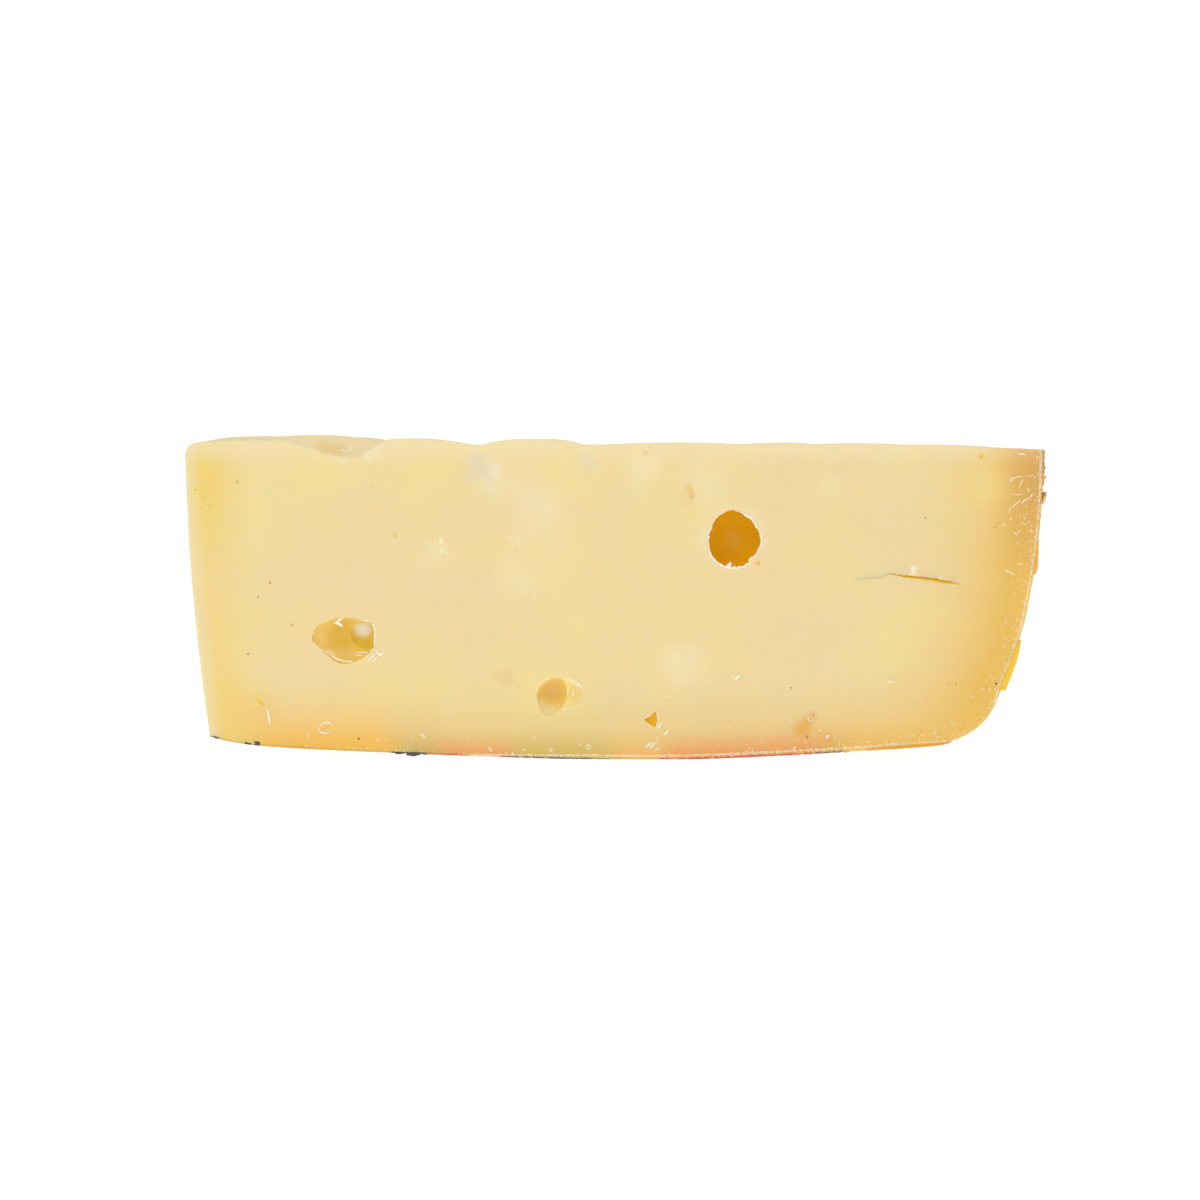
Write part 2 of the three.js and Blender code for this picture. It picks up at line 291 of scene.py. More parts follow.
def section_arcs():
    """The middles of the section's dome, corner and side arcs, and the angles where they meet."""
    radius = (HIGH.x - LOW.x) / MM
    side = Vector((radius - SIDE_ARC, WIDEST_AT))
    dome = Vector((FLAT_OUTER - DOME_ARC * math.sin(DOME_TILT), DOME_ARC * math.cos(DOME_TILT)))
    apart = dome - side
    from_side, from_dome = SIDE_ARC - CORNER_ARC, DOME_ARC - CORNER_ARC
    along = (from_side**2 - from_dome**2 + apart.length_squared) / (2 * apart.length)
    aside = math.sqrt(from_side**2 - along**2)
    apart.normalize()
    corner = side + along * apart + aside * Vector((apart.y, -apart.x))
    at_dome = math.atan2(corner.y - dome.y, corner.x - dome.x)
    at_side = math.atan2(corner.y - side.y, corner.x - side.x)
    return dome, corner, side, at_dome, at_side


def shoulder_worn(z):
    """How far the wheel's shoulder has worn flat at a height."""
    return WORN_DEPTH * math.exp(-(((z - WORN_AT) / WORN_REACH) ** 2))


def rind_section(inset, spacing):
    """The rind's section from near the axis, under the wheel, round the corner and up past the level cut."""
    dome, corner, side, at_dome, at_side = section_arcs()
    steps = round(FLAT_INNER / spacing)
    points = [(FLAT_INNER * i / steps, inset + underside_rise(FLAT_INNER * i / steps)) for i in range(steps)]
    points.append((FLAT_INNER, inset))
    points += arc(dome, DOME_ARC - inset, DOME_TILT - math.pi / 2, at_dome, spacing)
    points += arc(corner, CORNER_ARC - inset, at_dome, at_side, spacing)[1:]
    points += arc(side, SIDE_ARC - inset, at_side, 0, spacing)[1:]
    points = [(r - shoulder_worn(z) if r > FLAT_OUTER else r, z) for r, z in points]
    points.append((points[-1][0], CUT_HEIGHT + ABOVE))
    return points


def spun(points, spacing, past, material=0):
    """A closed section turned round the wheel's axis, some degrees past both cuts."""
    past = math.radians(past)
    bm = bmesh.new()
    bm.faces.new([bm.verts.new((r, 0, z)) for r, z in points])
    turn(bm, -past, "Z")
    sweep = WEDGE_ANGLE + 2 * past
    spin(bm, sweep, round(sweep * (points[-1][0] or HIGH.x / MM) / spacing))
    return close_up(bm, material)


def strokes(x, y):
    """How far the level cut stands above its middle height."""
    height = STROKE_BASE * (1 - smooth_between(x, LEVEL_FROM, LEVEL_TO))
    for index, (middle, half, crown, fullness) in enumerate(STROKES):
        off = min(1.0, abs(x - middle - STROKE_SLANT * y) / half)
        back = smooth_between(y, 0, FIRST_STROKE_RUN) if index == 0 else 1.0
        height += crown * (1 - off**fullness) * (FIRST_STROKE_FRONT + (1 - FIRST_STROKE_FRONT) * back)
    fall = max(0.0, x - ((HIGH.x - LOW.x) / MM - RIND_DROP_LENGTH)) / RIND_DROP_LENGTH
    return height - RIND_DROP * fall**1.5


def point_stands_back(z):
    """How far the point has leaned back at a height."""
    down = min(1.1, max(0.0, (CUT_HEIGHT - z) / CUT_HEIGHT))
    return LEAN * ((1 - LEAN_BOW) * down + LEAN_BOW * down * down)


def broken_open(x, y):
    """How far the eye that both knives broke open draws the edge of the front and the level cut down."""
    left, low_from, low_to, right = BROKEN_EYE
    dip = smooth_between(x, left, low_from) * (1 - smooth_between(x, low_to, right))
    return BROKEN_DEPTH * dip * (1 - smooth_between(y, 0.4, BROKEN_REACH))


def station(share, steps, length):
    """A place along one side of the block: close together in the soft edges, even between."""
    edge = min(EDGE_RADIUS, length / 4)
    soft = (0, 0.3 * edge, 0.62 * edge, edge)
    index = round(share * steps)
    if index < len(soft):
        return soft[index]
    if steps - index < len(soft):
        return length - soft[steps - index]
    inner = (index - len(soft) + 1) / (steps - 2 * (len(soft) - 1))
    return edge + inner * (length - 2 * edge)


def softened(a, b, radius):
    """Move a point that lies within the edge radius of two sides onto the round between them."""
    from_a, from_b = radius - a, radius - b
    if from_a <= 0 or from_b <= 0:
        return a, b
    scale = radius / math.hypot(from_a, from_b)
    return radius - from_a * scale, radius - from_b * scale


def block_between_cuts(spacing):
    """What the three knives leave: a block between the front, the back and the level cut."""
    height = CUT_HEIGHT - BELOW
    across = round(REACH / spacing)
    through = max(12, round(0.22 * across))
    down_steps = round(height / spacing)
    bm = bmesh.new()
    bmesh.ops.create_grid(bm, x_segments=across, y_segments=through, size=0.5)
    rim = [edge for edge in bm.edges if edge.is_boundary]
    for _ in range(down_steps):
        wall = bmesh.ops.extrude_edge_only(bm, edges=rim)["geom"]
        moved = [v for v in wall if isinstance(v, bmesh.types.BMVert)]
        bmesh.ops.translate(bm, verts=moved, vec=(0, 0, -1 / down_steps))
        rim = [e for e in wall if isinstance(e, bmesh.types.BMEdge) and e.is_boundary]
    bmesh.ops.holes_fill(bm, edges=rim, sides=0)
    for vert in bm.verts:
        along = station(vert.co.x + 0.5, across, REACH)
        thickness = (BLUNT + along) * WEDGE_ANGLE
        edge = min(EDGE_RADIUS, thickness / 4)
        front = station(vert.co.y + 0.5, through, thickness)
        back = thickness - front
        down = station(-vert.co.z, down_steps, height)
        along, front = softened(along, front, edge)
        along, back = softened(along, back, edge)
        front, down = softened(front, down, edge)
        back, down = softened(back, down, edge)
        along, down = softened(along, down, edge)
        angle = WEDGE_ANGLE * (front / thickness if front < back else 1 - back / thickness)
        level = CUT_HEIGHT - down
        x, y = (BLUNT + along) * math.cos(angle), (BLUNT + along) * math.sin(angle)
        crown = strokes(x, y) * min(1.0, max(0.0, level / CUT_HEIGHT))
        off = max(0.0, TIP_RADIUS - along)
        sunk = TIP_RADIUS - math.sqrt(TIP_RADIUS**2 - off**2) + broken_open(x - BLUNT, y)
        sunk *= smooth_between(level, CUT_HEIGHT - SINK_REACH, CUT_HEIGHT)
        vert.co = (x - BLUNT + point_stands_back(level), y, level + crown - sunk)
    return close_up(bm)


# ---- Eyes, pinholes and the crack ----
# Outlines of the eyes on the front cut, in millimetres from the middle, every 22.5 degrees from +X.
LARGE_EYE = (5.38, 5.08, 5.06, 5.2, 5.64, 5.6, 5.32, 5.0, 5.06, 5.36, 5.68, 5.84, 5.68, 5.68, 5.12, 5.24)
ALMOND_EYE = (5.96, 6.4, 5.46, 4.66, 4.38, 4.56, 5.2, 6.2, 6.36, 5.04, 4.52, 4.7, 4.78, 4.98, 5.28, 5.8)
BOWL = (3.1, 3.3, 3.7, 3.9, 3.6, 3.25, 3.15, 3.2, 3.2, 3.25, 3.7, 4.1, 3.85, 3.2, 2.9, 2.9)
TILTED_EYE = (4.72, 4.9, 4.04, 3.84, 3.72, 3.84, 3.9, 4.3, 4.42, 4.36, 4.86, 4.2, 3.4, 2.92, 2.9, 4.2)
POCKET = (2.7, 2.7, 2.8, 2.6, 2.45, 2.45, 2.6, 2.75, 2.8, 2.6, 2.8, 2.7, 2.75, 3.0, 3.5, 2.9)
CORNERED_EYE = (1.29, 1.32, 1.5, 1.78, 1.12, 0.9, 0.93, 1.13, 1.78, 1.36, 1.26, 1.24, 1.36, 1.8, 1.5, 1.36)
FRONT_EYES = (
    {"at": (109.7, 44.1), "outline": LARGE_EYE, "deep": 7.2, "sink": 3.4},
    {"at": (31.7, 23.9), "outline": ALMOND_EYE, "deep": 3.3, "sink": 0.2},
    {"at": (35.0, 24.7), "outline": POCKET, "deep": 3.8, "sink": 1.0},      # a deeper pocket in its side
    {"at": (74.6, 12.7), "outline": TILTED_EYE, "deep": 1.3, "sink": 0.1},
    {"at": (73.4, 12.66), "outline": BOWL, "deep": 3.9, "sink": 0.1},
    {"at": (93.2, 8.0), "outline": CORNERED_EYE, "deep": 0.95, "sink": 0.3},
    {"at": (28.5, 6.6), "half": (0.34, 0.5), "turn": 25, "deep": 0.35, "sink": 0.05},
    {"at": (14.9, 11.5), "half": (1.0, 0.45), "turn": -50, "deep": 0.6, "sink": 0.1},
)
BACK_EYES = (
    {"at": (62, 41), "half": (5.3, 4.8), "turn": 15, "deep": 7.0, "sink": 3.0},
    {"at": (130, 21), "half": (4.5, 5.4), "turn": -20, "deep": 6.0, "sink": 1.5},
    {"at": (98, 51), "half": (2.4, 2.2), "turn": 0, "deep": 3.5, "sink": 0.8},
    {"at": (50, 15), "half": (2.8, 2.0), "turn": 40, "deep": 3.0, "sink": 0.3},
    {"at": (146, 47), "half": (1.9, 1.6), "turn": 10, "deep": 3.0, "sink": 0.3},
)
TOP_EYES = (
    {"at": (101, 23), "half": (4.8, 4.4), "turn": 25, "deep": 6.5, "sink": 2.4},
    {"at": (139, 47), "half": (3.8, 4.4), "turn": -15, "deep": 5.0, "sink": 1.0},
    {"at": (126, 17), "half": (1.8, 1.5), "turn": 0, "deep": 2.6, "sink": 0.2},
)


def radius_at(eye, angle):
    """The eye's radius on its cut at an angle: from its outline, or an oval with soft waves."""
    if "outline" in eye:
        outline = eye["outline"]
        place = angle / (2 * math.pi) * len(outline)
        index, share = math.floor(place), place - math.floor(place)
        r0, r1, r2, r3 = (outline[(index + k) % len(outline)] for k in (-1, 0, 1, 2))
        bend = (r3 - r0 + 3 * (r1 - r2)) * share**3 + (2 * r0 - 5 * r1 + 4 * r2 - r3) * share**2
        return 0.5 * (bend + (r2 - r0) * share + 2 * r1)
    angle -= math.radians(eye.get("turn", 0))
    along, up = eye["half"]
    oval = along * up / math.hypot(up * math.cos(angle), along * math.sin(angle))
    return oval * (1 + 0.04 * math.sin(2 * angle + up) + 0.03 * math.sin(3 * angle + along))


def eye_cutter(eye, ragged):
    """A ragged hollow with its middle behind the plane y = 0, open towards -Y."""
    size = max(eye["outline"] if "outline" in eye else eye["half"])
    around = max(32, round(2 * math.pi * size / 0.24))
    ragged *= min(1.0, size / 4)
    bm = bmesh.new()
    bmesh.ops.create_uvsphere(bm, u_segments=around, v_segments=max(14, around // 4), radius=1)
    turn(bm, math.pi / 2, "X")
    sink, deep = eye.get("sink", 0), eye["deep"]
    at_cut = math.sqrt(1 - (sink / deep) ** 2) if sink < deep else 1.0
    for vert in bm.verts:
        angle = math.atan2(vert.co.z, vert.co.x)
        radius = radius_at(eye, angle) / at_cut
        near_rim = math.exp(-(((vert.co.y * deep + sink) / 0.5) ** 2))
        place = (size * math.cos(angle), eye["at"][0], size * math.sin(angle))
        toothed = 0.5 + 1.6 * max(0.0, 0.2 + rough(place, 3.1, 2.0))
        tear = ragged * toothed * (rough(place, 0.8) + 0.8 * rough(place, 0.42)) * near_rim
        swell = 0.03 * radius * rough(vert.co, 0.6, eye["at"][1])
        flat = math.hypot(vert.co.x, vert.co.z)
        reach = flat * (radius + swell) + tear * smooth_between(flat, 0.3, 0.8)
        vert.co = (reach * math.cos(angle), vert.co.y * deep, reach * math.sin(angle))
    shift(bm, eye["at"][0], sink, eye["at"][1])
    return close_up(bm, EYE)


def eye_cutters(ragged):
    """Every eye, turned onto the cut that opened it."""
    for eye in FRONT_EYES:
        yield eye_cutter(eye, ragged)
    for eye in BACK_EYES:
        bm = eye_cutter(eye, ragged)
        bmesh.ops.scale(bm, verts=bm.verts, vec=(1, -1, 1))
        bmesh.ops.reverse_faces(bm, faces=bm.faces)
        turn(bm, WEDGE_ANGLE, "Z")
        yield bm
    for eye in TOP_EYES:
        bm = eye_cutter(eye, ragged)
        turn(bm, -math.pi / 2, "X")
        shift(bm, 0, 0, CUT_HEIGHT)
        yield bm


# Where the crack runs on the front cut, in millimetres: x, z and how wide it gapes.
CRACK = (
    (133.9, 35.75, 0.02), (137.9, 36.35, 0.1), (138.9, 36.25, 0.1), (140.5, 37.1, 0.2),
    (142.7, 36.8, 0.42), (144.9, 36.45, 0.58), (147.9, 36.15, 0.78), (149.9, 35.8, 0.8),
    (152.9, 35.3, 0.62), (154.9, 34.95, 0.04),
)
CRACK_DEPTH = 1.3
CRACK_RISE = 0.95


def between(stations, steps):
    """Points along a list of stations, straight from each to the next."""
    for i in range(steps + 1):
        place = i / steps * (len(stations) - 1)
        index = min(int(place), len(stations) - 2)
        share = place - index
        yield [a + (b - a) * share for a, b in zip(stations[index], stations[index + 1])]


def crack_cutter():
    """A thin jagged split, open towards -Y, that rises as it goes in."""
    steps = 150
    course = list(between(CRACK, steps))
    bm = bmesh.new()
    bmesh.ops.create_uvsphere(bm, u_segments=12, v_segments=steps, radius=1)
    turn(bm, math.pi / 2, "Y")
    for vert in bm.verts:
        share = 1 - math.acos(max(-1.0, min(1.0, vert.co.x))) / math.pi
        x, z, width = course[round(share * steps)]
        flat = math.hypot(vert.co.y, vert.co.z)
        inward, up = (vert.co.y / flat, vert.co.z / flat) if flat > 1e-4 else (0, 0)
        middle = z + 0.3 * width * rough((x, 0, 0), 1.1) + 0.06 * rough((x, 2, 0), 0.45)
        half = width / 2 * (1 + 0.5 * rough((x, 4, 0), 0.7))
        depth = inward * CRACK_DEPTH * min(1.0, 0.3 + 2 * width)
        vert.co = (x, depth, middle + up * half + CRACK_RISE * depth)
    return close_up(bm, EYE)


# ---- Materials ----
# Marks in the paste beside the front cut: x, z, radius (millimetres), colour, strength. The soft ones
# are wide and drift into the paste, the milky ones are crackled curd, and the specks are small.
SOFT_MARKS = (
    (49, 40.4, 4.5, "F4E0B6", 0.4), (71.5, 49, 8.5, "F5E4BC", 0.5), (66, 54.5, 8, "F4E3BA", 0.4),
    (103.5, 55, 8, "F4E3BA", 0.4), (14.5, 9.5, 8, "F2CC70", 0.4), (66, 36.5, 7.5, "F5E3BC", 0.4),
    (74, 40, 6, "F2DFAE", 0.4), (60.9, 55.2, 4.2, "F2E4BE", 0.6), (99.5, 19.3, 7, "F5E4BF", 0.6),
    (91.6, 58.6, 5.6, "F6E5BA", 0.7), (128.6, 54.6, 4.6, "F5E4B8", 0.4),
    (109.6, 44.1, 8.8, "F6EACB", 0.75),     # paler ring round the largest eye
    (58.9, 58.2, 4.6, "E6D9BA", 0.85),      # whey-coloured paste under the knife's strokes
    (62, 58.2, 2.8, "F2E6C8", 0.85), (80.7, 59.2, 3.2, "E8DBB8", 0.75), (76, 57, 7.5, "F3E19C", 0.5),
    (160, 55, 7, "F6DE90", 0.5),
    (100.7, 53.4, 1.9, "EBBE66", 0.75),     # ripened, darker spots
    (100.2, 51.6, 4.2, "EED08C", 0.55), (64.2, 16.3, 3.2, "EACB8C", 0.75),
    (31.5, 59.8, 2.4, "F7E8C6", 0.7), (26, 61.6, 2.2, "F7E8C6", 0.6), (36.8, 61.4, 3, "F7E8C6", 0.7),
    (22, 5, 64.4, 9, "F6DFA6", 0.7),      # the level cut behind the broken eye, painted lighter against the shade it gets at a grazing angle, with a depth too
)
STAIN_MARKS = (
    (145.6, 38.1, 1, "FDF4DE", 0.9),      # a pale scrape above the crack
    (145.4, 37.2, 0.9, "FDF4DE", 0.9), (123.4, 6, 3, "E8AC44", 0.85), (124.6, 7.6, 2, "E8AC46", 0.7),
    (125.4, 8.8, 1.3, "DFA24C", 0.5), (127.5, 3.8, 2.8, "E9B25C", 0.6),
    (114.2, 39.3, 1.2, "F3C878", 0.6),      # beside the largest eye
    (27.8, 1.8, 62.7, 3.4, "EDC980", 0.7),  # the broken eye, with a depth too
    (30.6, 1.8, 62.2, 3, "EDC980", 0.7),
)
MILKY_MARKS = (
    (51, 42.6, 2.4, "FFF8E6", 0.7), (52.6, 40.8, 2, "FFF6E0", 0.35), (66.8, 43.9, 2.8, "FFF8E6", 0.4),
    (68, 34, 4, "FDF1D8", 0.2), (72.5, 52, 5, "FDF2D8", 0.2),
)
SPECKS = (
    (101.2, 52.5, 0.34, "A08450", 0.5), (92, 61.2, 0.8, "E6C876", 0.5), (159.1, 60.6, 0.9, "EBC648", 0.7),
    (159.2, 60.4, 0.3, "D99A2C", 0.7), (37.4, 54.4, 0.8, "EDC972", 0.45),
    (114.6, 39.2, 0.5, "F0AE40", 0.9), (1.9, 53.9, 0.9, "F7E070", 0.7), (1.9, 53.9, 0.3, "C4A032", 0.7),
    (16.9, 35.3, 0.36, "D8573C", 0.8), (14.5, 32.5, 0.26, "7C6C40", 0.8),
    (12.5, 21.1, 0.3, "5C5236", 0.9), (10.3, 55.5, 0.5, "E0A860", 0.6), (41.9, 44.7, 0.7, "E4BC70", 0.5),
    (92.9, 62.5, 0.5, "E8C878", 0.5), (21.3, 26.9, 0.42, "DD9E50", 0.7), (34.6, 4.1, 0.3, "2C2A22", 1),
    (121.1, 14.3, 0.28, "77694A", 0.8), (162.1, 15.1, 0.34, "544A2C", 0.9),
    (154.1, 15.1, 0.24, "6E6038", 0.8), (152.6, 15.2, 0.2, "8E7A48", 0.7),
    (148, 48.3, 0.26, "94703A", 0.8), (162.5, 47.3, 0.3, "B98C3E", 0.5), (162, 46.4, 0.34, "B98C3E", 0.5),
    (124.3, 4.5, 0.34, "7E5E38", 0.8), (3.6, 52.3, 0.3, "B8A860", 0.5), (4.9, 50.6, 0.3, "C0AC74", 0.5),
    (4.3, 50.2, 0.3, "FBF0D4", 0.7), (96, 11.8, 0.22, "A08856", 0.5), (109, 7.7, 0.22, "84724C", 0.5),
)
# Colours in the walls of the eyes: x, y, z, radius (millimetres), colour, strength.
EYE_MARKS = (
    (33, 3, 24, 9, "F2CE6C", 0.8), (25.8, 1.2, 23.8, 4.4, "FCDB80", 0.9),
    (31.3, 3, 25, 4.6, "E6BE3A", 0.85),     # amber band beside the almond eye's pocket
    (35, 1, 20.4, 3, "FFDC84", 0.8), (29, 1, 20.8, 2.4, "FFE6A4", 0.8),
    (35.2, 4.6, 26.8, 3.2, "FFFFF8", 1),      # its pocket, near-white at the top: a painted reflection on its glossy upper wall
    (35.5, 3.8, 22.3, 3, "ECCB38", 1),
    (73.3, 3, 13.3, 3.6, "EECB7C", 0.8),      # painted shade in the tilted eye's upper heart, painted light on its foot
    (72.6, 1.6, 10.4, 3, "FFF4CE", 0.8),
    (77.6, 0.8, 13.4, 2.6, "F2D88C", 0.9),      # its shallow crescent
    (93.2, 1, 8, 5, "FFD018", 1),
    (28.5, 0.2, 6.6, 1, "FFE290", 1),       # a pore and a slit near the foot
    (14.9, 0.5, 11.5, 1.8, "FFE47C", 1),
    (147.5, 1.5, 36.5, 12, "FFD440", 1),    # the crack's walls, painted bright mustard for the light that falls on its lower wall
)

# Colours of the coating beside the front cut: x, z, radius and colour.
SMUDGES = (
    (14.3, 3.4, 0.9, "4C4A46"), (12.5, 3.2, 0.8, "4C4A46"), (5.8, 4.4, 1, "4C4A46"),
    (42.4, 1, 1.6, "4A4C4E"), (45.6, 1, 2.4, "4A4C4E"), (172, 53.2, 0.7, "A8988C"),
    (171.8, 51.6, 0.9, "E6C0A0"), (165.4, 19, 5, "FFC83C"), (163.8, 15, 3.4, "FFC83C"),
    (170.4, 40, 3.8, "FFB44A"), (172.2, 60.3, 0.6, "857C62"), (172.3, 58.3, 0.7, "7A745E"),
    (172.3, 56.5, 0.6, "857C62"), (145.5, 2.6, 8.5, "F8A41C"),
)

# Rings of worn print on the coated underside: where each starts, in millimetres from the wheel's
# axis, its colour, and the colour of its painted glow in the last millimetres of paste over it and in the
# centimetre above.
RINGS = (
    (0, "coat", "F8C45A", "F6B424"), (42.5, "slate", "D0B462", "E2BE6C"),
    (49.5, "red", "EBA45C", "E8C578"), (65, "slate", "D8BA60", "E4C778"),
    (86, "coat", "EDBC68", "E8C77A"), (96, "red", "ECA25C", "E8C376"),
    (127.5, "slate", "E0B45C", "ECC26C"), (133, "coat", "F0BF62", "EFC86E"),
)

# ---- Nodes ----
def fill(tree, node, inputs):
    """Give a node's inputs, by name or number, their values or links."""
    for key, value in inputs.items():
        if isinstance(value, bpy.types.NodeSocket):
            tree.links.new(value, node.inputs[key])
        else:
            node.inputs[key].default_value = value


def add(tree, kind, inputs=(), output=0, **settings):
    """Add one node with its settings and the values or links of its inputs. Returns one of its outputs."""
    made = tree.nodes.new("ShaderNode" + kind)
    for name, value in settings.items():
        setattr(made, name, value)
    fill(tree, made, inputs if isinstance(inputs, dict) else dict(enumerate(inputs)))
    return made.outputs[output]


# Settings that many nodes share. The inputs of a MapRange node are the value, where it starts and ends,
# and what it becomes there: 0 and 1 unless they are given.
TIMES, MINUS, OVER, POWER, MULTIPLY_ADD = (
    {"operation": name} for name in ("MULTIPLY", "SUBTRACT", "DIVIDE", "POWER", "MULTIPLY_ADD")
)
SMOOTH = {"interpolation_type": "SMOOTHSTEP"}


def product(tree, *factors):
    """Factors multiplied one by the next."""
    whole = factors[0]
    for factor in factors[1:]:
        whole = add(tree, "Math", (whole, factor), **TIMES)
    return whole


def spot(tree, place, middle, radius, core, level=1.0, **settings):
    """A factor that falls from a level, at a share of the radius from a middle, to 0 at the radius."""
    away = add(tree, "VectorMath", (place, middle), "Value", operation="DISTANCE")
    return add(tree, "MapRange", (away, radius, core * radius, 0, level), **settings)


def ramp(tree, factor, stops, kind="LINEAR"):
    """The colours of a ramp through stops of place and colour."""
    colours = add(tree, "ValToRGB", (factor,))
    colours.node.color_ramp.interpolation = kind
    elements = colours.node.color_ramp.elements
    for index, (place, colour) in enumerate(stops):
        stop = elements[index] if index < 2 else elements.new(1)
        stop.position, stop.color = place, colour
    return colours


def layer_colours(tree, base, layers):
    """Lay colours over a base, each with its factor. Returns the socket of the result."""
    for factor, colour in layers:
        colour = linear(colour) if isinstance(colour, str) else colour
        base = add(tree, "Mix", {0: factor, 6: base, 7: colour}, 2, data_type="RGBA")
    return base


def new_material(name):
    """An empty node material, its node tree and its Principled shader."""
    material = bpy.data.materials.new(name)
    material.use_nodes = True
    tree = material.node_tree
    return material, tree, tree.nodes["Principled BSDF"]


def wheel_places(tree):
    """Sockets with the place in the wheel, in millimetres: vector, x, y, z and distance from the axis."""
    coordinates = add(tree, "TexCoord", output="Object")
    mapping = {"Vector": coordinates, "Location": [-value / MM for value in LOW], "Scale": [1 / MM] * 3}
    place = add(tree, "Mapping", mapping)
    x, y, z = add(tree, "SeparateXYZ", (place,)).node.outputs
    flat = add(tree, "CombineXYZ", (x, y))
    return place, x, y, z, add(tree, "VectorMath", (flat,), "Value", operation="LENGTH")


def noises(tree, place, *kinds):
    """A noise for each scale and detail."""
    return [add(tree, "TexNoise", {"Vector": place, "Scale": scale, "Detail": d}) for scale, d in kinds]


def depth_behind_rind(tree, z, out):
    """Sockets with the depth behind the rind's side and over its underside, in millimetres."""
    dome, _, side, *_ = section_arcs()
    off = add(tree, "Math", (add(tree, "Math", (z, WORN_AT), **MINUS), WORN_REACH), **OVER)
    worn = add(tree, "Math", (math.exp(-1), product(tree, off, off)), **POWER)
    full = add(tree, "Math", (worn, WORN_DEPTH, out), **MULTIPLY_ADD)
    section = add(tree, "CombineXYZ", (full, z))
    behind, over = (
        add(tree, "VectorMath", (section, (*middle, 0)), "Value", operation="DISTANCE")
        for middle in (side, dome)
    )
    behind = add(tree, "Math", (SIDE_ARC, behind), **MINUS)
    over = add(tree, "Math", (DOME_ARC, over), **MINUS)
    # Inside the flat the wheel's underside is nearly level, so the height is the depth there.
    inner = add(tree, "MapRange", (out, FLAT_OUTER, FLAT_INNER))
    return behind, add(tree, "Mix", {0: inner, 2: over, 3: z}, data_type="FLOAT")


def ring_colours(tree, out, colours, soft):
    """A colour for each ring of the underside, by distance from the axis, softened over some millimetres."""
    ends = [ring[0] for ring in RINGS[1:]] + [REACH]
    stops = []
    for (start, *_), end, colour in zip(RINGS, ends, colours):
        stops += [(start + soft, colour), (end - soft, colour)] if soft else [(start, colour)]
    stops = [(place / REACH, colour) for place, colour in stops]
    return ramp(tree, add(tree, "Math", (out, REACH), **OVER), stops, "LINEAR" if soft else "CONSTANT")


